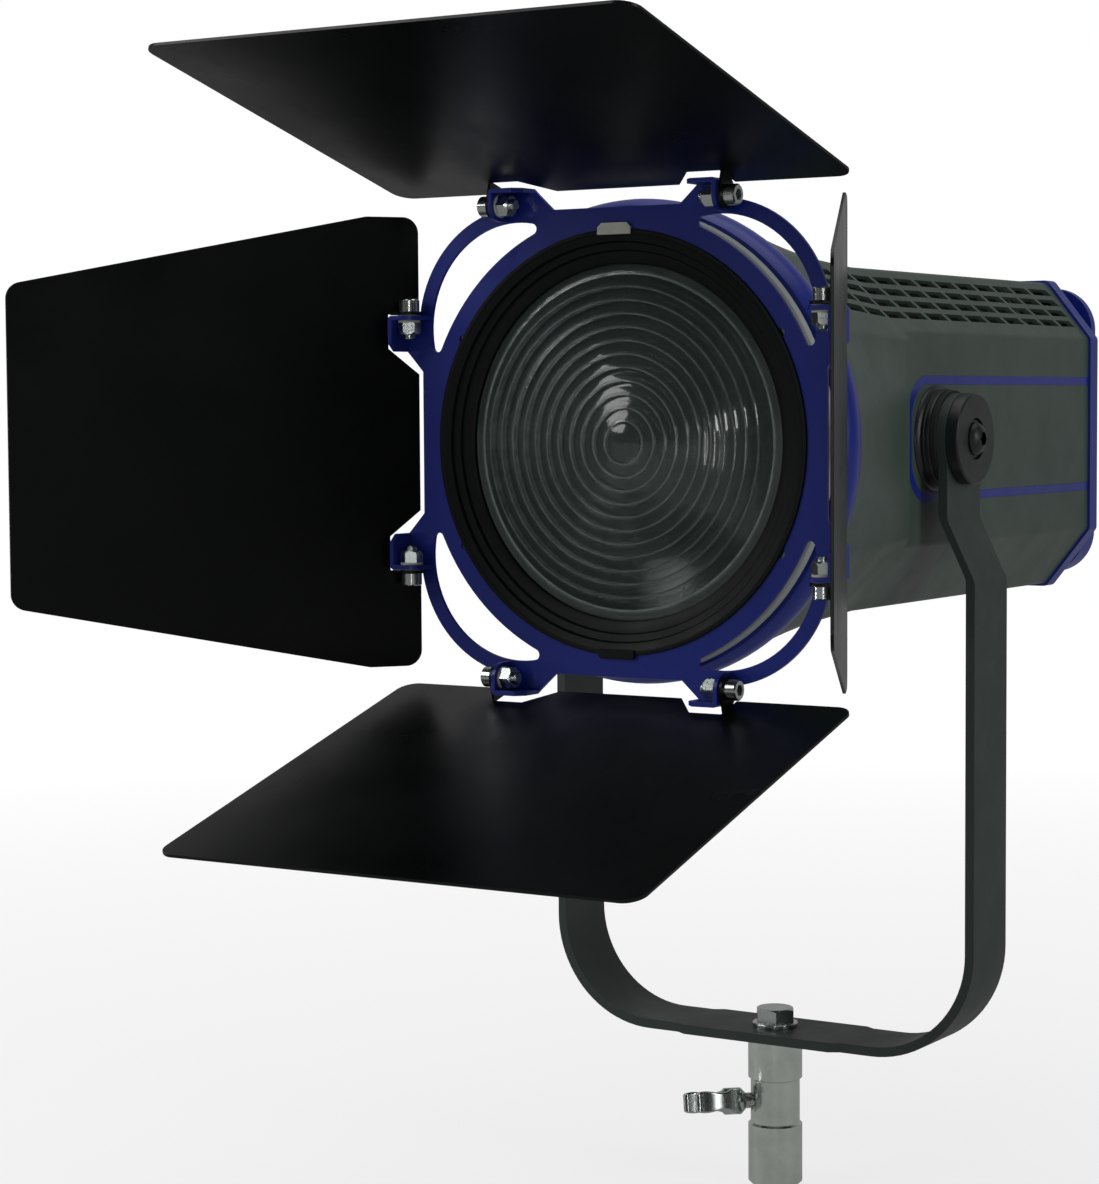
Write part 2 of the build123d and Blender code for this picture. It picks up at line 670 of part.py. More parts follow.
def narrow_leaf(side):
    corners = [
        (NARROW_LEAF_HALF, -LEAF_NEAR),
        (NARROW_LEAF_HALF, -NARROW_LEAF_PARALLEL),
        (NARROW_LEAF_END, -LEAF_FAR),
    ]
    return leaf(corners, NARROW_LEAF_ROUND, side)


# ---------------------------------------------------------------- snout and lens
def lens_bezel():
    """Black stepped ring that carries the barndoor plate on its rim and holds the lens."""
    return HEAD * turned_y([
        (RIM_RADIUS, RIM_FRONT),
        (RIM_RADIUS, BEZEL_REAR),
        (LENS_RADIUS + 2.0, BEZEL_REAR),
        (LENS_RADIUS + 2.0, LENS_FLANGE - 0.5),
        (LENS_OPENING, LENS_FLANGE - 0.5),
        (LENS_OPENING, 6.5),
        (LENS_OPENING + 2.4, 5.2),
        (91.0, 4.6),
        (91.6, 3.0),
        (95.0, 2.2),
        (95.6, 0.4),
        (99.0, -0.4),
        (99.6, RIM_FRONT),
    ])


def lens_profile():
    """Half section of the lens: flat back, domed eye and saw-tooth rings on the front."""
    points = [(0, LENS_BACK), (LENS_RADIUS, LENS_BACK), (LENS_RADIUS, LENS_FLANGE)]
    points.append((LENS_OPENING - 0.4, LENS_FLANGE))
    points.append((LENS_OPENING - 0.4, LENS_VALLEY))
    for ring in reversed(range(LENS_RINGS)):
        inner = LENS_EYE_RADIUS + ring * LENS_PITCH
        rise = 1.5 + 2.6 * (ring + 1) / LENS_RINGS
        points.append((inner + LENS_PITCH * 0.97, LENS_VALLEY))
        points.append((inner + LENS_PITCH * 0.62, LENS_VALLEY - rise * 0.42))
        points.append((inner + LENS_PITCH * 0.28, LENS_VALLEY - rise * 0.82))
        points.append((inner + 0.35, LENS_VALLEY - rise))
        if ring:
            points.append((inner, LENS_VALLEY))
    points.append((LENS_EYE_RADIUS, LENS_VALLEY))
    for step in (0.92, 0.7, 0.4):
        points.append((LENS_EYE_RADIUS * step, LENS_EYE + 1.6 * step * step))
    points.append((0, LENS_EYE))
    return points


def fresnel_lens():
    return HEAD * turned_y(lens_profile())


def lens_gasket():
    return HEAD * slab(ring_face(LENS_RADIUS, LENS_OPENING + 0.6), LENS_FLANGE - 0.5, LENS_FLANGE)


def lens_retainer():
    """Flanged ring that presses the lens against its seat from behind."""
    ring = slab(ring_face(RETAINER_OUTER, RETAINER_INNER), BEZEL_REAR, BEZEL_REAR + 2.0)
    lip = slab(ring_face(LENS_RADIUS, RETAINER_INNER), LENS_BACK, BEZEL_REAR)
    return HEAD * (ring + lip)


def snout_ring():
    """Pale ring just behind the barndoor plate."""
    return HEAD * turned_y([
        (RIM_RADIUS + 0.1, 2.1),
        (110.4, 2.1),
        (111.6, 3.3),
        (111.6, 8.6),
        (110.4, 9.8),
        (RIM_RADIUS + 0.1, 9.8),
    ])


def front_ring():
    """Blue rounded collar between the snout and the housing."""
    profile = make_face(Curve() + [
        Line((RIM_RADIUS + 0.1, 11.0), (112.8, 11.0)),
        ThreePointArc((112.8, 11.0), (FRONT_RING_RADIUS, 19.5), (114.2, SHELL_FRONT)),
        Line((114.2, SHELL_FRONT), (RIM_RADIUS + 0.1, SHELL_FRONT)),
        Line((RIM_RADIUS + 0.1, SHELL_FRONT), (RIM_RADIUS + 0.1, 11.0)),
    ])
    return HEAD * revolve(profile, Axis.Y)


def clip(width, low, high, bevel):
    """Retaining clip over the inner edge of the barndoor plate, drawn at the top."""
    plate = face_of([
        (-width / 2, low),
        (width / 2, low),
        (width / 2, high - bevel),
        (width / 2 - bevel, high),
        (-width / 2 + bevel, high),
        (-width / 2, high - bevel),
    ])
    lip = slab(plate, RIM_FRONT - CLIP_THICKNESS, -CLEARANCE)
    return lip - slab(Circle(RIM_RADIUS), RIM_FRONT, 0)


def clip_top():
    return HEAD * clip(*TOP_CLIP)


def clip_bottom():
    return HEAD * Rot(0, 180, 0) * clip(*BOTTOM_CLIP)


# ---------------------------------------------------------------- housing
def shell_section(y, inset, round_radius=None):
    """The brow's outline with its eight corner arcs, or a circle cut at the same bearings."""
    corners = octagon_corners(*inset_octagon(BROW_HALF_WIDTH, BROW_CORNER_Z, inset))
    ends = []
    for index, corner in enumerate(corners):
        here = Vector(*corner)
        to_before = (Vector(*corners[index - 1]) - here).normalized()
        to_after = (Vector(*corners[(index + 1) % len(corners)]) - here).normalized()
        half_angle = math.radians(to_before.get_angle(to_after) / 2)
        run = SHELL_CORNER_ROUND / math.tan(half_angle)
        inwards = (to_before + to_after).normalized()
        middle = here + inwards * (SHELL_CORNER_ROUND / math.sin(half_angle) - SHELL_CORNER_ROUND)
        ends.append((here + to_before * run, middle, here + to_after * run))
    if round_radius:
        ends = [tuple(point.normalized() * round_radius for point in trio) for trio in ends]
    edges = []
    for index, (start, middle, end) in enumerate(ends):
        following = ends[(index + 1) % len(ends)][0]
        edges.append(ThreePointArc(at_depth(start, y), at_depth(middle, y), at_depth(end, y)))
        if round_radius:
            between = (end + following).normalized() * round_radius
            edges.append(ThreePointArc(at_depth(end, y), at_depth(between, y), at_depth(following, y)))
        else:
            edges.append(Line(at_depth(end, y), at_depth(following, y)))
    return Face(Wire(edges))


def at_depth(point, y):
    """The point of an x-z drawing, placed at depth y."""
    return Vector(point.X, y, point.Y)


def shell_solid(inset):
    """The housing's outer form, or the same form moved inwards for its hollow."""
    front = shell_section(SHELL_FRONT, inset, SHELL_ROUND_RADIUS - inset)
    rear = shell_section(BROW_START, inset)
    nose = loft([front, rear], ruled=True)
    brow = slab(octagon_face(BROW_HALF_WIDTH, BROW_CORNER_Z, inset), BROW_START, BROW_Y - inset)
    tail = slab(shell_octagon(inset), BROW_START, SHELL_REAR)
    return nose + brow + tail


def vent_cutter():
    """All the slots of the right-hand upper chamfer."""
    length = math.hypot(CHAMFER_RUN, CHAMFER_RISE)
    plane = Plane(
        origin=(SHELL_HALF_WIDTH, 0, SHELL_CORNER_Z),
        x_dir=(0, 1, 0),
        z_dir=(CHAMFER_RISE / length, 0, CHAMFER_RUN / length),
    )
    slots = Sketch()
    half = VENT_HEIGHT / 2
    for row, height in enumerate(VENT_ROWS):
        start = VENT_FIRST + VENT_SHIFT * row
        while start < VENT_LAST - VENT_PITCH / 2:
            end = min(start + VENT_PITCH - VENT_BAR, VENT_LAST)
            if end + VENT_PITCH / 2 > VENT_LAST:
                end = VENT_LAST
            slots = slots + face_of([
                (start, height + half),
                (end, height + half),
                (end + VENT_SLANT, height - half),
                (start + VENT_SLANT, height - half),
            ])
            start = start + VENT_PITCH
    return extrude(plane * slots, VENT_CUT, both=True)


def stripe_face(grow=0.0):
    """The inlaid stripe, drawn in y and z: two long legs joined round the front."""
    depth = SHELL_REAR - STRIPE_FRONT
    outer_half = STRIPE_HALF + grow
    outer_corner = STRIPE_CORNER + grow
    inner_half = STRIPE_HALF - STRIPE_WIDTH - grow
    inner_front = STRIPE_FRONT + STRIPE_WIDTH + grow
    inner_corner = STRIPE_CORNER - STRIPE_WIDTH
    outer = Pos(STRIPE_FRONT - grow + depth, 0) * RectangleRounded(depth * 2, outer_half * 2, outer_corner)
    inner = Pos(inner_front + depth, 0) * RectangleRounded(depth * 2, inner_half * 2, inner_corner)
    keep = Pos(SHELL_REAR - depth, 0) * Rectangle(depth * 2, STRIPE_HALF * 4)
    return (outer - inner) & keep


def stripe(grow=0.0):
    high = SHELL_HALF_WIDTH + (1.0 if grow else STRIPE_PROUD)
    return side_slab(stripe_face(grow), SHELL_HALF_WIDTH - STRIPE_DEPTH, high)


def housing_shell():
    shell = shell_solid(0) - shell_solid(WALL)
    vents = vent_cutter()
    shell = shell - vents - mirror(vents, Plane.YZ)
    groove = stripe(0.03)
    shell = shell - groove - mirror(groove, Plane.YZ)
    for side in (-1, 1):
        hole_ends = sorted((side * BOSS_PLUG_END, side * BOSS_END))
        shell = shell - rod_x(BOSS_PLUG_RADIUS + 0.1, *hole_ends, PIVOT_TO_PLATE, 0)
    return HEAD * shell


def stripe_right():
    return HEAD * stripe()


def stripe_left():
    return HEAD * mirror(stripe(), Plane.YZ)


def drive_holes():
    """Seats of the two guide rods and of the lead screw, as an x-z drawing."""
    holes = Pos(0, SCREW_Z) * Circle(LEAD_SCREW_RADIUS + CLEARANCE)
    for x in (-ROD_X, ROD_X):
        holes = holes + Pos(x, 0) * Circle(ROD_RADIUS)
    return holes


def front_bulkhead():
    """Plate behind the snout that closes the housing's front and holds the rods."""
    lugs = Pos(0, SCREW_Z - 16.0) * Rectangle(20.0, 48.0)
    for x in (-ROD_X, ROD_X):
        lugs = lugs + Pos(x + math.copysign(12.0, x), 0) * Rectangle(40.0, 22.0)
    face = ring_face(BULKHEAD_RADIUS, 86.0) + (lugs & Circle(BULKHEAD_RADIUS))
    plate = slab(face - drive_holes(), ROD_FRONT, ROD_FRONT + BULKHEAD_THICKNESS)
    collar = slab(ring_face(BULKHEAD_RADIUS, 98.0), SHELL_FRONT + 0.5, ROD_FRONT)
    return HEAD * (plate + collar)


def rear_bulkhead():
    """Plate across the housing that carries the rods' rear ends and the electronics."""
    face = shell_octagon(WALL + 0.5) - RectangleRounded(96.0, 80.0, 6.0)
    return HEAD * slab(face - drive_holes(), ROD_REAR - BULKHEAD_THICKNESS, ROD_REAR)


def guide_rods():
    rods = [HEAD * rod_y(ROD_RADIUS, ROD_FRONT, ROD_REAR, x, 0) for x in (-ROD_X, ROD_X)]
    return Compound(children=rods)


# ---------------------------------------------------------------- tilt pivot
def at_pivot(piece, side=1):
    """A piece drawn round the x axis, moved to the tilt axis, on the right or on the left."""
    if side < 0:
        piece = mirror(piece, Plane.YZ)
    return Pos(0, 0, PIVOT_Z) * piece


def pivot_boss(side):
    """Flared foot that carries the tilt axis, with a plug into the housing wall."""
    start = SHELL_HALF_WIDTH + 0.3
    profile = turned_x([
        (BOSS_PLUG_END, PIVOT_SCREW_RADIUS + CLOSE_GAP),
        (BOSS_PLUG_END, BOSS_PLUG_RADIUS),
        (start, BOSS_PLUG_RADIUS),
        (start, BOSS_FLARE),
        (start + 1.2, BOSS_FLARE - 0.6),
        (start + 2.4, BOSS_FLARE - 2.4),
        (start + 3.0, BOSS_RADIUS),
        (96.8, BOSS_RADIUS),
        (97.1, BOSS_RADIUS - 0.7),
        (97.6, BOSS_RADIUS - 0.7),
        (97.9, BOSS_RADIUS),
        (BOSS_END, BOSS_RADIUS - 0.3),
        (BOSS_END, PIVOT_SCREW_RADIUS + CLOSE_GAP),
    ])
    return at_pivot(profile, side)


def friction_washers():
    face = ring_face(BOSS_RADIUS - 0.9, PIVOT_SCREW_RADIUS + CLEARANCE)
    disc = side_slab(face, BOSS_END + CLOSE_GAP, FRICTION_END)
    return Compound(children=[at_pivot(disc), at_pivot(disc, -1)])


def pivot_cap():
    """Outer clamping disc on the right-hand arm, with a recess for its screw."""
    start = ARM_OUTER_TOP + CLEARANCE
    return at_pivot(turned_x([
        (start, PIVOT_SCREW_RADIUS + CLEARANCE),
        (start, CAP_RADIUS - 0.4),
        (start + 0.5, CAP_RADIUS),
        (CAP_END - 0.8, CAP_RADIUS),
        (CAP_END, CAP_RADIUS - 0.8),
        (CAP_END, CAP_RECESS_RADIUS),
        (CAP_END - CAP_RECESS, CAP_RECESS_RADIUS),
        (CAP_END - CAP_RECESS, PIVOT_SCREW_RADIUS + CLEARANCE),
    ]))


def pivot_screw():
    seat = CAP_END - CAP_RECESS
    washer_top = seat + 1.6
    body = turned_x([
        (STUD_START, 0),
        (STUD_START, PIVOT_SCREW_RADIUS),
        (seat + CLOSE_GAP, PIVOT_SCREW_RADIUS),
        (seat + CLOSE_GAP, 9.6),
        (washer_top, 9.6),
        (washer_top, 8.4),
        (washer_top + 1.2, 8.4),
        (washer_top + 3.2, 7.0),
        (washer_top + 4.6, 4.8),
        (washer_top + 5.0, 3.6),
        (washer_top + 5.0, 0),
    ])
    key = extrude(Plane.YZ.offset(washer_top + 1.8) * hexagon(6.0), 4.0)
    return at_pivot(body - key)


def tilt_stud():
    """Fixed stud of the left-hand pivot, on which the locking knob turns."""
    body = turned_x([
        (STUD_START, 0),
        (STUD_START, PIVOT_SCREW_RADIUS),
        (STUD_END - 1.0, PIVOT_SCREW_RADIUS),
        (STUD_END, PIVOT_SCREW_RADIUS - 1.0),
        (STUD_END, 0),
    ])
    return at_pivot(body, -1)


def tilt_lock_knob():
    """Five-lobed locking knob on the left-hand arm."""
    hub = Circle(KNOB_HUB_RADIUS)
    for lobe in range(KNOB_LOBES):
        turn = Rot(0, 0, 360 / KNOB_LOBES * lobe)
        hub = hub + turn * Pos(KNOB_LOBE_CENTRE, 0) * Circle(KNOB_LOBE_RADIUS)
    start = ARM_OUTER_TOP + 4.0
    grip = side_slab(hub, start, start + KNOB_THICKNESS)
    rim = grip.edges().group_by(Axis.X)[-1]
    grip = fillet(rim, 2.5)
    collar = turned_x([
        (ARM_OUTER_TOP + CLEARANCE, 0),
        (ARM_OUTER_TOP + CLEARANCE, 16.0),
        (ARM_OUTER_TOP + 2.0, 16.0),
        (start, 13.0),
        (start + 1.0, 0),
    ])
    bore = rod_x(PIVOT_SCREW_RADIUS + CLEARANCE, ARM_OUTER_TOP - 1.0, STUD_END + 1.0)
    return at_pivot(grip + collar - bore, -1)


# ---------------------------------------------------------------- focus carriage
def carriage_plate():
    face = RectangleRounded(2 * ROD_X + 22.0, 88.0, 8.0)
    tongue = Pos(0, SCREW_Z / 2 - 8.0) * RectangleRounded(30.0, abs(SCREW_Z) + 12.0, 6.0)
    face = face + tongue
    for x in (-ROD_X, ROD_X):
        face = face - Pos(x, 0) * Circle(BUSHING_RADIUS)
    face = face - Pos(0, SCREW_Z) * Circle(NUT_RADIUS)
    return HEAD * slab(face, CARRIAGE_Y, CARRIAGE_Y + CARRIAGE_PLATE)


def carriage_bushings():
    bush = ring_face(BUSHING_RADIUS, ROD_RADIUS + CLEARANCE)
    pieces = []
    for x in (-ROD_X, ROD_X):
        pieces.append(HEAD * slab(Pos(x, 0) * bush, CARRIAGE_Y - 6.0, CARRIAGE_Y + 18.0))
    return Compound(children=pieces)


def lead_nut():
    bush = Pos(0, SCREW_Z) * ring_face(NUT_RADIUS, LEAD_SCREW_RADIUS + CLEARANCE)
    flange = Pos(0, SCREW_Z) * ring_face(NUT_RADIUS + 2.5, LEAD_SCREW_RADIUS + CLEARANCE)
    end = CARRIAGE_Y + CARRIAGE_PLATE
    return HEAD * (slab(bush, CARRIAGE_Y - 8.0, end) + slab(flange, end, end + 4.0))


def led_module():
    """Copper-backed light source with its round emitting surface."""
    board = slab(RectangleRounded(LED_BOARD, LED_BOARD, 3.0), CARRIAGE_Y - 3.0, CARRIAGE_Y)
    emitter = turned_y([
        (0, CARRIAGE_Y - 4.6),
        (15.5, CARRIAGE_Y - 4.4),
        (17.5, CARRIAGE_Y - 3.0),
        (0, CARRIAGE_Y - 3.0),
    ])
    return HEAD * (board + emitter)


def reflector():
    """Short conical reflector round the light source."""
    rear = CARRIAGE_Y - 3.1
    return HEAD * turned_y([
        (19.0, rear),
        (26.0, rear),
        (26.0, rear - 2.0),
        (21.5, rear - 2.0),
        (36.0, rear - 24.0),
        (34.8, rear - 24.0),
    ])


def heat_sink():
    """Base plate with upright fins behind the carriage plate."""
    start = CARRIAGE_Y + CARRIAGE_PLATE
    base_depth = 8.0
    sink = slab(Rectangle(SINK_HALF * 2, SINK_HALF_HEIGHT * 2), start, start + base_depth)
    fins = Sketch()
    count = int(SINK_HALF / FIN_PITCH)
    for fin in range(-count, count + 1):
        fins = fins + Pos(fin * FIN_PITCH, 0) * Rectangle(FIN_THICKNESS, SINK_HALF_HEIGHT * 2)
    return HEAD * (sink + slab(fins, start + base_depth, start + SINK_DEPTH))


def fan_frame():
    frame = RectangleRounded(FAN_HALF * 2, FAN_HALF * 2, 5.0) - Circle(FAN_HALF - 2.5)
    holes = Sketch()
    for sx in (-1, 1):
        for sz in (-1, 1):
            holes = holes + Pos(sx * (FAN_HALF - 5), sz * (FAN_HALF - 5)) * Circle(2.2)
    frame = slab(frame - holes, FAN_START, FAN_START + FAN_DEPTH)
    hub = rod_y(19.0, FAN_START + FAN_DEPTH - 3.0, FAN_START + FAN_DEPTH)
    axle = rod_y(2.0, FAN_START + 4.0, FAN_START + FAN_DEPTH - 2.0)
    spokes = hub + axle
    for turn in (45, 135, 225, 315):
        spoke = Rot(0, 0, turn) * Pos(30.0, 0) * Rectangle(28.0, 4.0)
        spokes = spokes + slab(spoke, FAN_START + FAN_DEPTH - 3.0, FAN_START + FAN_DEPTH)
    return HEAD * (frame + spokes)


def fan_rotor():
    front = FAN_START + 2.0
    rear = FAN_START + FAN_DEPTH - 4.0
    rotor = rod_y(FAN_HUB_RADIUS, front, rear) - rod_y(2.0 + CLEARANCE, front + 1.0, rear + 1.0)
    span = FAN_HALF - FAN_HUB_RADIUS + 1.0
    vane = Rot(0, 0, FAN_PITCH_ANGLE) * Box(FAN_BLADE_THICKNESS, rear - front, span)
    vane = Pos(0, (front + rear) / 2, (FAN_HALF + FAN_HUB_RADIUS) / 2 - 1.5) * vane
    for index in range(FAN_BLADES):
        rotor = rotor + Rot(0, 360 / FAN_BLADES * index, 0) * vane
    limit = rod_y(FAN_HALF - 3.3, front, rear)
    return HEAD * (rotor & limit)


def lead_screw():
    """Focus lead screw, from the front bulkhead to the knob behind the rear panel."""
    body = rod_y(LEAD_SCREW_RADIUS, ROD_FRONT + 1.0, PANEL_Y + PANEL_THICKNESS + 14.0, 0, SCREW_Z)
    return HEAD * body


def knob(radius, length, bore_radius, bore_depth, x, z):
    """Fluted control knob with a rounded cap, standing out rearwards from the panel."""
    y = KNOB_SEAT
    face = Circle(radius)
    for flute in range(KNOB_FLUTES):
        face = face - Rot(0, 0, 360 / KNOB_FLUTES * flute) * Pos(radius + 0.5, 0) * Circle(1.3)
    body = slab(face, y, y + length)
    cap = turned_y([
        (0, y - 1),
        (radius + 1, y - 1),
        (radius + 1, y + length - 2.0),
        (radius - 1.6, y + length),
        (0, y + length),
    ])
    body = body & cap
    body = body - rod_y(bore_radius, y - 1, y + bore_depth)
    return HEAD * Pos(x, 0, z) * body


def focus_knob():
    bore = LEAD_SCREW_RADIUS + CLOSE_GAP
    return knob(FOCUS_KNOB_RADIUS, FOCUS_KNOB_LENGTH, bore, 14.0, 0, SCREW_Z)


# ---------------------------------------------------------------- rear panel and electronics
def rear_bezel():
    outer = slab(shell_octagon(-BEZEL_PROUD), SHELL_REAR, SHELL_REAR + BEZEL_DEPTH)
    rim = outer.edges().group_by(Axis.Y)[-1]
    outer = chamfer(rim, 1.5)
    opening = slab(shell_octagon(BEZEL_LIP), SHELL_REAR - 1, SHELL_REAR + BEZEL_DEPTH + 1)
    pocket = slab(shell_octagon(3.5), SHELL_REAR - 1, PANEL_Y + PANEL_THICKNESS)
    for x, z in PANEL_SCREWS:
        opening = opening + rod_y(PANEL_SCREW_HOLE, SHELL_REAR, SHELL_REAR + BEZEL_DEPTH + 1, x, z)
    return HEAD * (outer - opening - pocket)


def rear_panel():
    """Control plate inside the rear bezel, cut for its controls and connectors."""
    face = shell_octagon(3.6)
    face = face - Pos(0, SCREW_Z) * Circle(LEAD_SCREW_RADIUS + CLEARANCE)
    face = face - Pos(DIMMER_X, DIMMER_Z) * Circle(DIMMER_SHAFT_RADIUS + CLEARANCE)
    face = face - Pos(0, DISPLAY_Z) * Rectangle(DISPLAY_WIDTH, DISPLAY_HEIGHT)
    for x in BUTTON_X:
        face = face - Pos(x, BUTTON_Z) * Circle(BUTTON_RADIUS + 0.1)
    for x in (-SOCKET_X, SOCKET_X):
        face = face - Pos(x, SOCKET_Z) * Circle(SOCKET_BARREL + 0.1)
    face = face - Pos(POWER_X, POWER_Z) * Circle(POWER_BARREL + 0.1)
    for x, z in PANEL_SCREWS:
        face = face - Pos(x, z) * Circle(PANEL_SCREW_HOLE)
    slots = Sketch()
    for row in range(SLOT_BANK_COUNT):
        slots = slots + Pos(SLOT_BANK_X, SLOT_BANK_TOP - row * SLOT_BANK_PITCH) * SlotOverall(34.0, 2.6)
    return HEAD * slab(face - slots, PANEL_Y, PANEL_Y + PANEL_THICKNESS)


def panel_screws():
    face_y = SHELL_REAR + BEZEL_DEPTH
    screw = turned_y([
        (0, PANEL_Y - 2.0),
        (1.5, PANEL_Y - 2.0),
        (1.5, face_y + 0.02),
        (2.9, face_y + 0.02),
        (2.7, face_y + 1.3),
        (1.6, face_y + 1.9),
        (0, face_y + 1.9),
    ])
    key = slab(hexagon(2.0), face_y + 1.0, face_y + 3.0)
    return Compound(children=[HEAD * Pos(x, 0, z) * (screw - key) for x, z in PANEL_SCREWS])


def display_window():
    pane = RectangleRounded(DISPLAY_WIDTH - 0.4, DISPLAY_HEIGHT - 0.4, 2.0)
    window = slab(pane, PANEL_Y + 0.6, PANEL_Y + PANEL_THICKNESS + 0.4)
    return HEAD * Pos(0, 0, DISPLAY_Z) * window


def button(index):
    """Push button through the rear panel, with a retaining flange inside."""
    cap = turned_y([
        (0, PANEL_Y - 2.6),
        (BUTTON_RADIUS + 1.0, PANEL_Y - 2.6),
        (BUTTON_RADIUS + 1.0, PANEL_Y - 0.1),
        (BUTTON_RADIUS, PANEL_Y - 0.1),
        (BUTTON_RADIUS, PANEL_Y + PANEL_THICKNESS + 1.6),
        (BUTTON_RADIUS - 0.7, PANEL_Y + PANEL_THICKNESS + 2.2),
        (0, PANEL_Y + PANEL_THICKNESS + 2.4),
    ])
    return HEAD * Pos(BUTTON_X[index], 0, BUTTON_Z) * cap


def dimmer_knob():
    reach = 11.0
    body = knob(DIMMER_RADIUS, DIMMER_LENGTH, DIMMER_SHAFT_RADIUS, reach, DIMMER_X, DIMMER_Z)
    shaft = HEAD * rod_y(DIMMER_SHAFT_RADIUS, PANEL_Y - 6.0, KNOB_SEAT + reach, DIMMER_X, DIMMER_Z)
    return body + shaft


def signal_socket(x, plug):
    """Round signal connector on a square flange; plug True has pins, False has holes."""
    face_y = PANEL_Y + PANEL_THICKNESS
    flange = RectangleRounded(26.0, 31.0, 3.0) - Circle(SOCKET_BORE)
    holes = Pos(-9.5, 12.0) * Circle(1.6) + Pos(9.5, -12.0) * Circle(1.6)
    body = slab(flange - holes, face_y + CLOSE_GAP, face_y + 2.2)
    barrel = slab(ring_face(SOCKET_BARREL, SOCKET_BORE), PANEL_Y - 14.0, face_y + 2.2)
    back = rod_y(SOCKET_BARREL, PANEL_Y - 18.0, PANEL_Y - 14.0)
    part = body + barrel + back
    for pin in range(5):
        angle = math.radians(50 * pin - 10)
        px = 5.2 * math.cos(angle)
        pz = 5.2 * math.sin(angle)
        if plug:
            part = part + rod_y(1.0, PANEL_Y - 14.5, face_y - 2.0, px, pz)
        else:
            part = part + slab(Pos(px, pz) * ring_face(1.9, 1.05), PANEL_Y - 14.5, face_y)
    return HEAD * Pos(x, 0, SOCKET_Z) * part


def power_inlet():
    face_y = PANEL_Y + PANEL_THICKNESS
    flange = RectangleRounded(31.0, 36.0, 3.0) - Circle(POWER_BORE)
    body = slab(flange, face_y + CLOSE_GAP, face_y + 2.6)
    barrel = slab(ring_face(POWER_BARREL, POWER_BORE), PANEL_Y - 18.0, face_y + 3.6)
    back = rod_y(POWER_BARREL, PANEL_Y - 22.0, PANEL_Y - 18.0)
    core = slab(ring_face(8.4, 3.2), PANEL_Y - 19.0, face_y - 1.0)
    part = body + barrel + back + core
    return HEAD * Pos(POWER_X, 0, POWER_Z) * part


def rear_guard():
    """Blue bail that stands off the rear bezel and shields the controls."""
    height = GUARD_TOP - GUARD_BOTTOM
    middle = (GUARD_TOP + GUARD_BOTTOM) / 2
    hollow = 2 * (GUARD_HALF_WIDTH - GUARD_BAR)
    outer = Pos(0, middle) * RectangleRounded(2 * GUARD_HALF_WIDTH, height, GUARD_CORNER)
    inner = Pos(0, middle) * RectangleRounded(hollow, height - 2 * GUARD_BAR, GUARD_CORNER - GUARD_BAR)
    hoop = slab(outer - inner, GUARD_REAR - GUARD_HOOP, GUARD_REAR)
    rim = hoop.edges().group_by(Axis.Y)[-1]
    hoop = fillet(rim, 2.5)
    low_wall = (outer - inner) & Pos(0, -140.0) * Rectangle(260.0, 180.0)
    skirt = slab(low_wall, GUARD_FRONT, GUARD_REAR - GUARD_HOOP / 2)
    side_x = GUARD_HALF_WIDTH - GUARD_BAR / 2
    for x in (-side_x, side_x):
        foot = Pos(x, GUARD_SIDE_Z) * Rectangle(GUARD_BAR, 12.0)
        skirt = skirt + slab(foot, GUARD_FRONT, GUARD_REAR - GUARD_HOOP / 2)
    return HEAD * (hoop + skirt)


def driver_board():
    """Circuit board with three capacitors and a transformer."""
    parts = Pos(0, 0, BOARD_Z) * Box(120.0, 44.0, BOARD_THICKNESS)
    top = BOARD_Z + BOARD_THICKNESS / 2
    for x, y, height, radius in CAPACITORS:
        parts = parts + Pos(x, y, top + height / 2) * Cylinder(radius, height)
    parts = parts + Pos(18.0, 0, top + 6.0) * Box(22.0, 18.0, 12.0)
    return HEAD * Pos(0, BOARD_Y, 0) * parts


def power_supply():
    """Enclosed supply with a perforated cover, on the rear bulkhead."""
    case = Pos(0, 0, SUPPLY_Z) * Box(SUPPLY_WIDTH, SUPPLY_DEPTH, SUPPLY_HEIGHT)
    holes = Sketch()
    for column in range(-4, 5):
        for row in (-1.5, -0.5, 0.5, 1.5):
            centre = Pos(SUPPLY_HOLE_PITCH * column, SUPPLY_Z + SUPPLY_HOLE_PITCH * row)
            holes = holes + centre * Circle(SUPPLY_HOLE_RADIUS)
    cut = slab(holes, SUPPLY_DEPTH / 2 - 4.0, SUPPLY_DEPTH / 2 + 2.0)
    return HEAD * Pos(0, SUPPLY_Y, 0) * (case - cut)


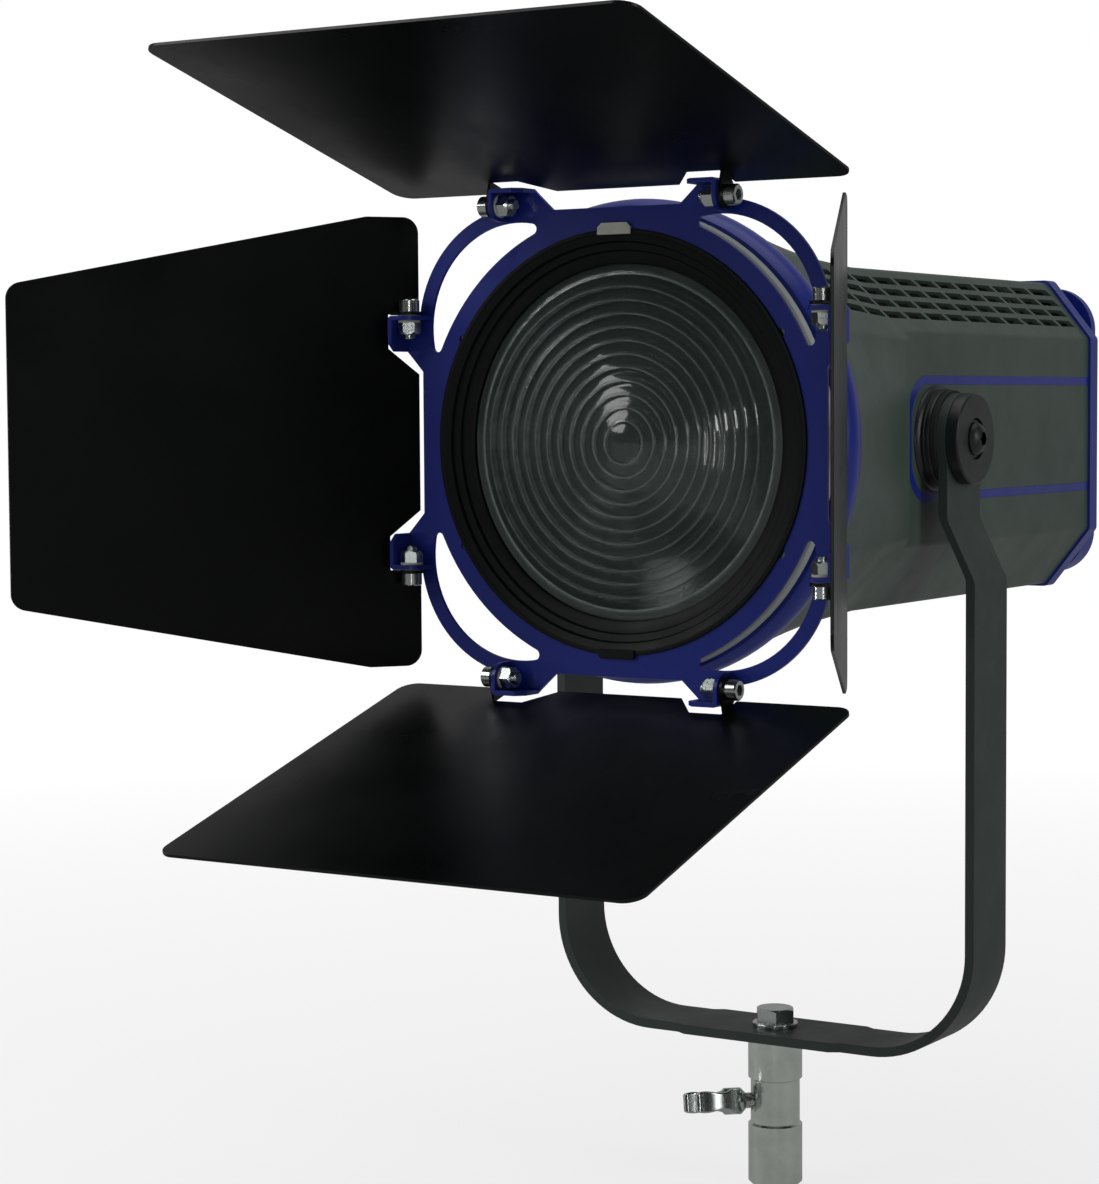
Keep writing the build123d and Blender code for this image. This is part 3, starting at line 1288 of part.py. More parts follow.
# ---------------------------------------------------------------- output
NODES = {
    "yoke": yoke,
    "pivot_bushings": pivot_bushings,
    "yoke_bolt": yoke_bolt,
    "yoke_bolt_washer": yoke_bolt_washer,
    "spigot": spigot,
    "wing_screw": wing_screw,
    "barndoor_frame": barndoor_frame,
    "hinge_screws": hinge_screws,
    "hinge_nuts": hinge_nuts,
    "hinge_washers": hinge_washers,
    "leaf_top": lambda: wide_leaf("top"),
    "leaf_bottom": lambda: wide_leaf("bottom"),
    "leaf_right": lambda: narrow_leaf("right"),
    "leaf_left": lambda: narrow_leaf("left"),
    "lens_bezel": lens_bezel,
    "fresnel_lens": fresnel_lens,
    "lens_gasket": lens_gasket,
    "lens_retainer": lens_retainer,
    "snout_ring": snout_ring,
    "front_ring": front_ring,
    "clip_top": clip_top,
    "clip_bottom": clip_bottom,
    "housing_shell": housing_shell,
    "stripe_right": stripe_right,
    "stripe_left": stripe_left,
    "front_bulkhead": front_bulkhead,
    "rear_bulkhead": rear_bulkhead,
    "guide_rods": guide_rods,
    "pivot_boss_right": lambda: pivot_boss(1),
    "pivot_boss_left": lambda: pivot_boss(-1),
    "friction_washers": friction_washers,
    "pivot_cap": pivot_cap,
    "pivot_screw": pivot_screw,
    "tilt_stud": tilt_stud,
    "tilt_lock_knob": tilt_lock_knob,
    "carriage_plate": carriage_plate,
    "carriage_bushings": carriage_bushings,
    "lead_nut": lead_nut,
    "led_module": led_module,
    "reflector": reflector,
    "heat_sink": heat_sink,
    "fan_frame": fan_frame,
    "fan_rotor": fan_rotor,
    "lead_screw": lead_screw,
    "focus_knob": focus_knob,
    "rear_bezel": rear_bezel,
    "rear_panel": rear_panel,
    "panel_screws": panel_screws,
    "display_window": display_window,
    "button_menu": lambda: button(0),
    "button_down": lambda: button(1),
    "button_up": lambda: button(2),
    "button_enter": lambda: button(3),
    "dimmer_knob": dimmer_knob,
    "signal_in": lambda: signal_socket(-SOCKET_X, True),
    "signal_out": lambda: signal_socket(SOCKET_X, False),
    "power_inlet": power_inlet,
    "rear_guard": rear_guard,
    "driver_board": driver_board,
    "power_supply": power_supply,
}

os.makedirs("parts", exist_ok=True)
for name, build in NODES.items():
    shape = build()
    shape.label = name
    export_step(shape, f"parts/{name}.step")
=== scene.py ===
"""Looks of the fresnel spotlight: materials, small visible details, stage, lights and camera.

Metres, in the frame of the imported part: the origin is the centre of the spigot's lower face, +Z is up
and the light leaves along -Y.
"""
import math

import bpy
from mathutils import Matrix, Vector


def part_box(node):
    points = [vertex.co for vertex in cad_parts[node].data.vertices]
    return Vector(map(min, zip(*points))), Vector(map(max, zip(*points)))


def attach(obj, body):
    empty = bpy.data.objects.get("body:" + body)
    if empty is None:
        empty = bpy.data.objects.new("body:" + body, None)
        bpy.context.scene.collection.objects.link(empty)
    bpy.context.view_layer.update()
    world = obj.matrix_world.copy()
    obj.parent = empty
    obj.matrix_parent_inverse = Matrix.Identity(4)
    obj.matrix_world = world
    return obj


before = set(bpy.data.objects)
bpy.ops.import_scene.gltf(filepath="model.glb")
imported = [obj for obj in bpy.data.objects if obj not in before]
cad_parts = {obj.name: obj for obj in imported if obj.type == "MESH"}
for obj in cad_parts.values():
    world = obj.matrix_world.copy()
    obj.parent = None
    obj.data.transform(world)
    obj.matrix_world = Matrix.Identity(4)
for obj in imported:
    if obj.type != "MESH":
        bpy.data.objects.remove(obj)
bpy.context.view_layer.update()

# ---------------------------------------------------------------- sizes and places
MM = 0.001
CAMERA_PLACE = Vector((703.3, -1330.1, 413.7)) * MM
CAMERA_AZIMUTH = math.radians(32.25)
CAMERA_ELEVATION = math.radians(3.64)
CAMERA_ROLL = math.radians(-0.36)
CAMERA_LENS = 87.16
CAMERA_SHIFT = (-0.0049, -0.0056)
EDGE_ROUND = 0.25 * MM       # soft edge of machined and moulded pieces
SHEET_ROUND = 0.2 * MM       # soft edge of sheet metal
SMOOTH_ANGLE = math.radians(32)
ROUND_ANGLE = math.radians(40)
FLAT_ANGLE = math.radians(0.2)
WELD_REACH = 0.002 * MM
LENS_EYE = 9.7 * MM          # radius of the lens's middle, and the width of one of its rings
LENS_PITCH = 6.4 * MM
BACKDROP_LIGHT = 0.42        # brightness of the backdrop and of the dim studio, as the object sees them
STUDIO_LIGHT = 0.02
BACKDROP_EDGE = 0.75         # cosine of the angle from the camera's heading where it is at its brightest
FLOOR_BOUNCE = 0.30
FLOOR_HALF = 40.0
FLOOR_FADE = (0.2, 1.8)      # distance from the origin where the floor starts and ends turning white
FLOOR_GLOW = 0.78            # share of white at the start
LIGHT_TARGET = (0.0, -0.1, 0.4)
STRIP_TARGET = (0.0, 0.0, 0.06)
LIGHTS = (                   # name, place, target, size and power of each soft light
    ("key_left", (-1.3, -1.5, 1.35), LIGHT_TARGET, (0.9, 0.9), 12.5),
    ("glint_left", (-1.9, -0.95, 0.3), LIGHT_TARGET, (0.2, 0.2), 5.0),
    ("glint_right", (1.05, -1.9, 0.75), LIGHT_TARGET, (0.12, 0.3), 1.6),
    ("strip_front", (0.72, -1.62, 0.22), STRIP_TARGET, (0.05, 0.7), 1.1),
    ("top_soft", (0.1, -0.1, 1.9), LIGHT_TARGET, (1.6, 1.6), 10.5),
    ("side_right", (1.9, -0.15, 0.9), LIGHT_TARGET, (0.7, 1.1), 9.0),
)

# ---------------------------------------------------------------- colours, linear
BLUE = (0.012, 0.025, 0.25)
MARK_WHITE = (0.62, 0.63, 0.62)
LEAF_BLACK = (0.0012, 0.0019, 0.0019)
# painted highlight colour for the edges of the barndoor leaves
LEAF_EDGE_HIGHLIGHT = (0.02, 0.023, 0.023)
YOKE_BLACK = (0.036, 0.050, 0.044)
HOUSING_GREY = (0.055, 0.081, 0.067)
BEZEL_BLACK = (0.0022, 0.0032, 0.0036)
PIVOT_GREY = (0.010, 0.0135, 0.0135)
SNOUT_GREY = (0.42, 0.45, 0.43)
PLASTIC_BLACK = (0.009, 0.010, 0.010)
STAINLESS = (0.74, 0.79, 0.73)
HARDWARE = (0.56, 0.6, 0.58)
ZINC = (0.52, 0.52, 0.46)
NYLON = (0.55, 0.54, 0.48)
FIBRE = (0.010, 0.011, 0.011)
GASKET = (0.3, 0.3, 0.29)
STEEL = (0.55, 0.56, 0.57)
ALUMINIUM = (0.62, 0.63, 0.64)
BRONZE = (0.55, 0.33, 0.14)
MIRROR = (0.86, 0.87, 0.88)
WIRE_RED = (0.32, 0.012, 0.01)
GLASS_TINT = (0.93, 0.98, 0.96)
GLASS_SHADE = (0.075, 0.105, 0.10)
# painted highlight colour for the crests of the lens's rings
GLASS_CREST_HIGHLIGHT = (0.40, 0.47, 0.44)
BOARD_PARTS = (0.03, 0.03, 0.035)
DISPLAY_BLACK = (0.006, 0.008, 0.011)
DISPLAY_BLUE = (0.35, 0.75, 1.0)
WHITE = (1.0, 1.0, 1.0)
# each pair below is blended by a pattern
PHOSPHOR = ((0.75, 0.52, 0.06), (0.85, 0.66, 0.16))
LIGHT_MASK = ((0.62, 0.63, 0.6), (0.7, 0.7, 0.68))
BOARD_GREEN = ((0.02, 0.16, 0.06), (0.008, 0.07, 0.03))
FLOOR_PALE = ((0.74, 0.74, 0.74), (0.76, 0.76, 0.76))


# ---------------------------------------------------------------- material building blocks
class Tree:
    """The node tree of one new material, with a short call for each kind of node it needs."""

    def __init__(self, name):
        self.material = bpy.data.materials.new(name)
        self.material.use_nodes = True
        self.nodes = self.material.node_tree.nodes
        self.links = self.material.node_tree.links
        self.nodes.clear()
        self.place = self.add("ShaderNodeTexCoord").outputs["Object"]

    def feed(self, socket, value):
        """Links a node's output to a socket, or sets the socket to a value."""
        if isinstance(value, bpy.types.NodeSocket):
            self.links.new(value, socket)
        elif isinstance(value, tuple) and len(value) == 3 and socket.type == "RGBA":
            socket.default_value = (*value, 1.0)
        else:
            socket.default_value = value

    def add(self, kind, inputs=None, **settings):
        """A new node with its settings and inputs."""
        node = self.nodes.new(kind)
        for key, value in settings.items():
            setattr(node, key, value)
        for key, value in (inputs or {}).items():
            self.feed(node.inputs[key], value)
        return node

    def stretched(self, scale):
        """The object's coordinates, scaled along each axis."""
        return self.add("ShaderNodeMapping", {"Vector": self.place, "Scale": scale}).outputs["Vector"]

    def noise(self, size_mm, detail=2.0, rough=0.5, where=None):
        """Soft random pattern whose features are about size_mm across."""
        return self.add(
            "ShaderNodeTexNoise",
            {
                "Vector": where or self.place,
                "Scale": 1.0 / (size_mm * MM),
                "Detail": detail,
                "Roughness": rough,
            },
        ).outputs["Fac"]

    def cells(self, size_mm, feature="F1"):
        """Random cells about size_mm across."""
        return self.add(
            "ShaderNodeTexVoronoi",
            {"Vector": self.place, "Scale": 1.0 / (size_mm * MM)},
            feature=feature,
        ).outputs["Distance"]

    def spread(self, value, low, high, out_low=0.0, out_high=1.0):
        """Maps the range low to high of a value onto out_low to out_high."""
        return self.add(
            "ShaderNodeMapRange",
            {"Value": value, "From Min": low, "From Max": high, "To Min": out_low, "To Max": out_high},
        ).outputs["Result"]

    def sums(self, operation, first, second, third=0.0):
        """Result of a maths node."""
        node = self.add("ShaderNodeMath", operation=operation)
        self.feed(node.inputs[0], first)
        self.feed(node.inputs[1], second)
        self.feed(node.inputs[2], third)
        return node.outputs["Value"]

    def blend(self, share, first, second):
        """Colour between first and second."""
        node = self.add("ShaderNodeMix", data_type="RGBA")
        self.feed(node.inputs["Factor"], share)
        self.feed(node.inputs[6], first)
        self.feed(node.inputs[7], second)
        return node.outputs[2]

    def axis(self, name):
        """One of the object's coordinates."""
        return self.add("ShaderNodeSeparateXYZ", {"Vector": self.place}).outputs[name]

    def bump(self, height, depth_mm, strength=1.0, base=None):
        """Surface relief, on top of another one where base is given."""
        inputs = {"Height": height, "Distance": depth_mm * MM, "Strength": strength}
        if base is not None:
            inputs["Normal"] = base
        return self.add("ShaderNodeBump", inputs).outputs["Normal"]

    def worn_edge(self, reach_mm):
        """Near 1 on outer edges and 0 on flat faces; it marks rubbed paint, and the painted highlight on
        the leaves' edges.
        """
        inside = self.add(
            "ShaderNodeAmbientOcclusion",
            {"Distance": reach_mm * MM},
            inside=True,
            samples=4,
            only_local=True,
        ).outputs["AO"]
        return self.sums("SUBTRACT", 1.0, inside)

    def surface(self, **inputs):
        """The principled shader; underscores in the names stand for spaces."""
        return self.add(
            "ShaderNodeBsdfPrincipled",
            {key.replace("_", " "): value for key, value in inputs.items()},
        ).outputs["BSDF"]

    def mixed(self, share, first, second):
        """Shader between first and second."""
        return self.add("ShaderNodeMixShader", {0: share, 1: first, 2: second}).outputs["Shader"]

    def done(self, shader):
        """The finished material."""
        self.links.new(shader, self.add("ShaderNodeOutputMaterial").inputs["Surface"])
        return self.material


def powder_coat(name, colour, rough, grain_mm=0.9, grain_depth=0.03, gloss=0.5, wear=0.0):
    """Baked powder paint: orange peel, slight cloudiness and edges rubbed a little lighter."""
    t = Tree(name)
    cloud = t.noise(70.0, 3.0, 0.6)
    speck = t.noise(0.7, 1.0)
    tone = t.sums("ADD", t.spread(cloud, 0.3, 0.7, 0.9, 1.1), t.spread(speck, 0.3, 0.7, -0.05, 0.05))
    paint = t.add("ShaderNodeVectorMath", {0: colour, "Scale": tone}, operation="SCALE").outputs["Vector"]
    if wear:
        patches = t.spread(t.noise(9.0, 4.0, 0.7), 0.42, 0.62, 0.0, wear)
        edge = t.sums("MULTIPLY", t.worn_edge(0.8), patches)
        paint = t.blend(edge, paint, tuple(min(1.0, 2.6 * c + 0.02) for c in colour))
    peel = t.noise(grain_mm, 2.0, 0.55)
    normal = t.bump(peel, grain_depth, 0.8, t.bump(t.noise(14.0, 1.0), 0.05, 0.3))
    roughness = t.spread(t.noise(22.0, 4.0, 0.65), 0.3, 0.7, rough - 0.05, rough + 0.06)
    return t.done(
        t.surface(Base_Color=paint, Roughness=roughness, Specular_IOR_Level=gloss, Normal=normal)
    )


def leaf_sheet():
    """Satin black sheet of the barndoor leaves: slightly wavy, with faint handling marks and a painted
    highlight along every edge.
    """
    t = Tree("leaf_black_sheet")
    marks = t.spread(t.noise(6.0, 5.0, 0.7, t.stretched((1.0, 0.25, 1.0))), 0.52, 0.75)
    sheen = t.spread(t.noise(45.0, 3.0), 0.3, 0.7, 0.27, 0.36)
    rough = t.sums("ADD", sheen, t.sums("MULTIPLY", marks, 0.06))
    # painted highlight: every edge of the leaves is coloured lighter, where the thin cut edges catch the
    # light
    colour = t.blend(t.sums("MULTIPLY", t.worn_edge(0.7), 0.6), LEAF_BLACK, LEAF_EDGE_HIGHLIGHT)
    peel = t.noise(0.8, 2.0)
    wave = t.noise(95.0, 1.0, 0.4)
    normal = t.bump(peel, 0.012, 0.6, t.bump(wave, 2.2, 0.5))
    return t.done(
        t.surface(Base_Color=colour, Roughness=rough, Specular_IOR_Level=0.24, Normal=normal)
    )


def metal(name, colour, rough, grain=(1.0, 1.0, 1.0), grain_mm=1.0, depth=0.004, stain=0.15):
    """Bare metal with machining grain, scratches and slight staining."""
    t = Tree(name)
    lines = t.noise(grain_mm, 3.0, 0.6, t.stretched(grain))
    patch = t.noise(12.0, 4.0, 0.6)
    scratch = t.spread(t.noise(2.0, 6.0, 0.75), 0.6, 0.72)
    dark = tuple(c * (1.0 - stain) for c in colour)
    tint = t.blend(t.spread(patch, 0.35, 0.7), colour, dark)
    roughness = t.sums(
        "ADD",
        t.spread(lines, 0.3, 0.7, rough - 0.03, rough + 0.05),
        t.sums("MULTIPLY", scratch, 0.12),
    )
    normal = t.bump(lines, depth, 1.0)
    return t.done(t.surface(Base_Color=tint, Metallic=1.0, Roughness=roughness, Normal=normal))


def moulded(name, colour, rough, grain_mm=0.5, depth=0.02):
    """Moulded plastic or rubber with a fine eroded texture."""
    t = Tree(name)
    shade = t.blend(t.spread(t.noise(18.0, 3.0), 0.3, 0.7), colour, tuple(1.35 * c for c in colour))
    normal = t.bump(t.cells(grain_mm), depth, 0.6)
    roughness = t.spread(t.noise(9.0, 3.0), 0.3, 0.7, rough - 0.05, rough + 0.08)
    return t.done(t.surface(Base_Color=shade, Roughness=roughness, Specular_IOR_Level=0.4, Normal=normal))


def ring_crests(t, centre):
    """Near 1 on the crest of each of the lens's rings and 0 down its slope."""
    offset = t.add("ShaderNodeVectorMath", {0: t.place, 1: tuple(centre)}, operation="SUBTRACT")
    flat = (1.0, 0.0, 1.0)
    across = t.add("ShaderNodeVectorMath", {0: offset.outputs["Vector"], 1: flat}, operation="MULTIPLY")
    length = t.add("ShaderNodeVectorMath", {0: across.outputs["Vector"]}, operation="LENGTH")
    step = t.sums("DIVIDE", t.sums("SUBTRACT", length.outputs["Value"], LENS_EYE), LENS_PITCH)
    phase = t.sums("FRACT", step, 0.0)
    crest = t.sums("MULTIPLY", t.spread(phase, 0.03, 0.3, 1.0, 0.0), t.sums("GREATER_THAN", step, -0.02))
    return t.sums("MULTIPLY", crest, t.spread(t.noise(6.0, 3.0), 0.3, 0.7, 0.6, 1.0))


def lens_glass():
    """Pressed borosilicate glass: the front ring crests painted pale as highlight lines, and fine stipple
    on the back.
    """
    t = Tree("lens_glass")
    lens_low, lens_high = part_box("fresnel_lens")
    back = t.spread(t.axis("Y"), lens_high.y - 0.6 * MM, lens_high.y - 0.2 * MM)
    stipple = t.bump(t.cells(1.6), 0.25, back)
    ripple = t.bump(t.noise(2.2, 2.0), 0.008, 0.4, stipple)
    rough = t.sums("ADD", t.sums("MULTIPLY", back, 0.25), 0.03)
    crest = ring_crests(t, (lens_low + lens_high) / 2)
    glass = t.surface(
        Base_Color=GLASS_TINT,
        Roughness=rough,
        IOR=1.47,
        Transmission_Weight=1.0,
        Normal=ripple,
    )
    # painted highlight: the crest of each ring is coloured pale and gets more of the haze layer
    haze_and_crest_highlight = t.blend(crest, GLASS_SHADE, GLASS_CREST_HIGHLIGHT)
    haze = t.surface(Base_Color=haze_and_crest_highlight, Roughness=0.16, Normal=t.bump(crest, 0.5, 0.7, ripple))
    cloud = t.spread(t.noise(30.0, 3.0), 0.3, 0.7, 0.34, 0.44)
    share = t.sums("ADD", cloud, t.sums("MULTIPLY", crest, 0.4))
    return t.done(t.mixed(share, glass, haze))


def light_source():
    """Copper-backed board with a yellow phosphor disc on its front."""
    t = Tree("light_source")
    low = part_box("led_module")[0]
    front = t.spread(t.axis("Y"), low.y + 1.55 * MM, low.y + 1.65 * MM)
    dots = t.spread(t.cells(1.9), 0.2, 0.45)
    phosphor = t.blend(dots, *PHOSPHOR)
    mask = t.blend(t.spread(t.noise(3.0, 3.0), 0.4, 0.6), *LIGHT_MASK)
    colour = t.blend(front, phosphor, mask)
    return t.done(t.surface(Base_Color=colour, Roughness=0.4, Normal=t.bump(dots, 0.05, 0.4)))


def circuit():
    """Green solder mask with fine tracks; parts standing on it are dark."""
    t = Tree("circuit_board")
    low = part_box("driver_board")[0]
    raised = t.spread(t.axis("Z"), low.z + 1.65 * MM, low.z + 1.75 * MM)
    tracks = t.spread(t.cells(5.0, feature="DISTANCE_TO_EDGE"), 0.04, 0.07)
    mask = t.blend(tracks, *BOARD_GREEN)
    colour = t.blend(raised, mask, BOARD_PARTS)
    return t.done(t.surface(Base_Color=colour, Roughness=0.35, Normal=t.bump(tracks, 0.03, 0.5)))


def display_glass():
    """Dark display behind glossy glass, lit by a row of level bars."""
    t = Tree("display_glass")
    low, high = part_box("display_window")
    across = t.spread(t.axis("X"), low.x, high.x)
    up = t.spread(t.axis("Z"), low.z, high.z)
    bars = t.sums("PINGPONG", t.sums("MULTIPLY", across, 24.0), 0.5)
    bar_on = t.sums("GREATER_THAN", bars, 0.18)
    filled = t.sums("LESS_THAN", across, 0.66)
    inside = t.sums("GREATER_THAN", across, 0.1)
    band = t.sums("COMPARE", up, 0.3, 0.1)
    lit = t.sums("MULTIPLY", t.sums("MULTIPLY", bar_on, filled), t.sums("MULTIPLY", inside, band))
    smear = t.spread(t.noise(8.0, 4.0), 0.35, 0.65, 0.05, 0.14)
    return t.done(
        t.surface(
            Base_Color=DISPLAY_BLACK,
            Roughness=smear,
            Emission_Color=DISPLAY_BLUE,
            Emission_Strength=t.sums("MULTIPLY", lit, 1.2),
        )
    )


def make_materials():
    """One material for each material slot of the record, and two for the added details."""
    return {
        "blue_paint": powder_coat("blue_satin_paint", BLUE, 0.32, 1.4, 0.01, 0.35, wear=0.12),
        "black_sheet": leaf_sheet(),
        "yoke_black": powder_coat("yoke_powder_coat", YOKE_BLACK, 0.5, 0.8, 0.03, 0.35, wear=0.2),
        "housing_grey": powder_coat("housing_powder_coat", HOUSING_GREY, 0.45, 0.8, 0.025, 0.4, wear=0.12),
        "bezel_black": powder_coat("bezel_black_coat", BEZEL_BLACK, 0.5, 0.7, 0.015, 0.2),
        "snout_grey": powder_coat("snout_pale_coat", SNOUT_GREY, 0.22, 1.5, 0.01, 0.6),
        "pivot_grey": powder_coat("pivot_dark_coat", PIVOT_GREY, 0.36, 0.9, 0.012, 0.4, wear=0.25),
        "stainless": metal("turned_stainless", STAINLESS, 0.2, (0.05, 0.05, 3.0), 0.5, 0.003),
        "chrome_hardware": metal("bright_hardware", HARDWARE, 0.2, depth=0.002),
        "zinc": metal("brushed_zinc", ZINC, 0.42, (0.08, 1.0, 3.0), 0.5, 0.004),
        "glass": lens_glass(),
        "black_plastic": moulded("black_plastic", PLASTIC_BLACK, 0.42),
        "nylon": moulded("natural_nylon", NYLON, 0.4),
        "fibre": moulded("friction_fibre", FIBRE, 0.7, 1.2),
        "gasket": moulded("silicone_gasket", GASKET, 0.6),
        "steel": metal("ground_steel", STEEL, 0.22, (3.0, 0.1, 3.0), 0.6, 0.004),
        "sheet_metal": metal("sheet_aluminium", ALUMINIUM, 0.36, (0.2, 2.0, 2.0), 0.6, 0.006),
        "bronze": metal("sintered_bronze", BRONZE, 0.38, grain_mm=0.4, depth=0.01),
        "copper": light_source(),
        "reflector": metal("bright_reflector", MIRROR, 0.1, depth=0.002),
        "circuit_board": circuit(),
        "display": display_glass(),
        "marks": powder_coat("panel_marks_paint", MARK_WHITE, 0.5, 0.4, 0.004, 0.3),
        "wire": moulded("wire_sleeve", WIRE_RED, 0.45, 0.8),
    }


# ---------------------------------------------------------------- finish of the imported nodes
def smooth_by_angle():
    """Geometry nodes that shade smoothly across every edge flatter than SMOOTH_ANGLE."""
    group = bpy.data.node_groups.new("smooth_by_angle", "GeometryNodeTree")
    group.interface.new_socket("Geometry", in_out="INPUT", socket_type="NodeSocketGeometry")
    group.interface.new_socket("Geometry", in_out="OUTPUT", socket_type="NodeSocketGeometry")
    source = group.nodes.new("NodeGroupInput")
    target = group.nodes.new("NodeGroupOutput")
    faces = group.nodes.new("GeometryNodeSetShadeSmooth")
    edges = group.nodes.new("GeometryNodeSetShadeSmooth")
    edges.domain = "EDGE"
    angle = group.nodes.new("GeometryNodeInputMeshEdgeAngle")
    flat = group.nodes.new("FunctionNodeCompare")
    flat.operation = "LESS_EQUAL"
    flat.inputs["B"].default_value = SMOOTH_ANGLE
    group.links.new(angle.outputs["Unsigned Angle"], flat.inputs["A"])
    group.links.new(source.outputs[0], faces.inputs["Geometry"])
    group.links.new(faces.outputs["Geometry"], edges.inputs["Geometry"])
    group.links.new(flat.outputs["Result"], edges.inputs["Shade Smooth"])
    group.links.new(edges.outputs["Geometry"], target.inputs[0])
    return group


SMOOTHING = smooth_by_angle()


def soften(piece, edge_round):
    """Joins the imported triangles, rounds sharp edges a little and shades the curves smoothly."""
    normals = piece.data.attributes.get("custom_normal")
    if normals:
        piece.data.attributes.remove(normals)
    weld = piece.modifiers.new("weld", "WELD")
    weld.merge_threshold = WELD_REACH
    if edge_round:
        flat = piece.modifiers.new("join_flat_faces", "DECIMATE")
        flat.decimate_type = "DISSOLVE"
        flat.angle_limit = FLAT_ANGLE
        bevel = piece.modifiers.new("soft_edges", "BEVEL")
        bevel.width = edge_round
        bevel.segments = 2
        bevel.limit_method = "ANGLE"
        bevel.angle_limit = ROUND_ANGLE
    smooth = piece.modifiers.new("smooth_curves", "NODES")
    smooth.node_group = SMOOTHING
    if edge_round:
        even = piece.modifiers.new("flat_faces_stay_flat", "WEIGHTED_NORMAL")
        even.weight = 90
        even.keep_sharp = True


SHEET_SLOTS = ("black_sheet", "blue_paint", "sheet_metal")
SHARP_NODES = ("fresnel_lens", "fan_rotor", "heat_sink", "power_supply", "driver_board")


def finish_nodes(materials):
    """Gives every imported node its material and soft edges."""
    for name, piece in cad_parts.items():
        slot = piece.data.materials[0].name.split(".")[0]
        piece.data.materials.clear()
        piece.data.materials.append(materials[slot])
        edge_round = SHEET_ROUND if slot in SHEET_SLOTS else EDGE_ROUND
        soften(piece, 0.0 if name in SHARP_NODES else edge_round)


# ---------------------------------------------------------------- small visible details
HINGE_AXIS = 114.0 * MM      # hinge axis from the optical axis
HINGE_TIP = 51.15 * MM       # start and end of the bare thread of a hinge screw, along that axis
HINGE_NUT = 53.1 * MM
HINGE_THREAD = (2.6 * MM, 3.14 * MM, 1.0 * MM)     # core, crest and pitch
WING_HEADING = math.radians(221.3)
WING_BARE = (13.15 * MM, 16.7 * MM)
WING_THREAD = (3.6 * MM, 4.3 * MM, 1.25 * MM)
CHAMFER_LOW = Vector((92.5, 0.0, 53.3)) * MM       # ends of the housing's chamfer, from the optical axis
CHAMFER_HIGH = Vector((67.0, 0.0, 85.5)) * MM
BAFFLE_SPANS = ((50.0, 293.0), (303.0, 352.0))     # depth behind the barndoor plate, in mm
BAFFLE_PROFILE = ((3.0, 4.0), (4.0, 4.0), (8.0, 7.0), (36.0, 7.0), (40.0, 4.0), (41.0, 4.0))
BAFFLE_SHEET = 0.8
PLATE_THICKNESS = 2.0 * MM
MARK_LIFT = 0.06 * MM
MARK_WIDTH = 0.45            # sizes of the panel's marks, in mm
NUMBER_HEIGHT = 3.4
NUMBER_RADIUS = 17.2
DIAL_STEPS = 10
DIAL_SWEEP = 270             # degrees round the knob
DIAL_TICK = 12.2             # where a tick starts, and where short and long ones end
DIAL_SHORT = 13.4
DIAL_LONG = 14.4
FOCUS_STEPS = 12
FOCUS_SWEEP = 144
FOCUS_TICK = 13.8
FOCUS_SHORT = 14.6
FOCUS_GROWTH = 0.22
SYMBOL_LIFT = 7.4
MENU_ROWS = (-1.1, 0.0, 1.1)
MENU_HALF = (1.6, 0.22)
ARROW = ((-1.5, -1.0), (0.0, 1.5), (1.5, -1.0))
DISC_RADIUS = 1.4
DISC_SIDES = 20
SIGNAL_WIRE = 0.7            # wire radii, gaps between leads and ends of leads, in mm
SIGNAL_GAP = 2.5
SIGNAL_END = (30.0, -6.0, 1.6)
SIGNAL_DROP = 8.0
SIGNAL_BEND = 5.0
POWER_WIRE = 1.0
POWER_GAP = 4.0
POWER_END = (0.2, -12.0, 14.0)
POWER_BEND = (9.0, 6.0)
POWER_RUN = 8.0
PLUG_DEPTH = 0.4


def middle(node):
    """Centre of a node's box."""
    low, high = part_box(node)
    return (low + high) / 2


def add_piece(name, vertices, faces, material, body):
    """A new mesh that rides on a body, shaded smoothly where it curves."""
    mesh = bpy.data.meshes.new(name)
    mesh.from_pydata([tuple(v) for v in vertices], [], faces)
    mesh.update()
    mesh.materials.append(material)
    piece = bpy.data.objects.new(name, mesh)
    bpy.context.scene.collection.objects.link(piece)
    smooth = piece.modifiers.new("smooth_curves", "NODES")
    smooth.node_group = SMOOTHING
    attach(piece, body)


def thread(start, end, core, crest, pitch):
    """Vertices and faces of a screw thread along +X."""
    sides = 24
    steps = max(4, round((end - start) / pitch * 8))
    vertices = []
    for step in range(steps + 1):
        x = start + (end - start) * step / steps
        for side in range(sides):
            phase = (x / pitch - side / sides) % 1.0
            radius = core + (crest - core) * (1.0 - abs(2.0 * phase - 1.0))
            angle = math.tau * side / sides
            vertices.append(Vector((x, radius * math.cos(angle), radius * math.sin(angle))))
    faces = []
    for step in range(steps):
        for side in range(sides):
            here = step * sides + side
            beside = step * sides + (side + 1) % sides
            faces.append((here, beside, beside + sides, here + sides))
    return vertices, faces


def add_threads(materials):
    """Threads on the bare ends of the hinge screws and on the clamping screw's shank."""
    centre = middle("hinge_screws")
    vertices, faces = [], []
    for turn in range(4):
        for half_turn in range(2):
            place = Matrix.Translation(centre) @ Matrix.Rotation(turn * math.pi / 2, 4, "Y")
            place = place @ Matrix.Translation((0.0, 0.0, HINGE_AXIS))
            place = place @ Matrix.Rotation(half_turn * math.pi, 4, "Z")
            points, quads = thread(HINGE_TIP, HINGE_NUT, *HINGE_THREAD)
            first = len(vertices)
            vertices += [place @ point for point in points]
            faces += [tuple(index + first for index in quad) for quad in quads]
    slot = "chrome_hardware"
    add_piece("hinge_screw_threads", vertices, faces, materials[slot], "barndoor")
    points, quads = thread(*WING_BARE, *WING_THREAD)
    place = Matrix.Translation((0.0, 0.0, middle("wing_screw").z)) @ Matrix.Rotation(WING_HEADING, 4, "Z")
    points = [place @ point for point in points]
    add_piece("wing_screw_thread", points, quads, materials[slot], "wing_screw")


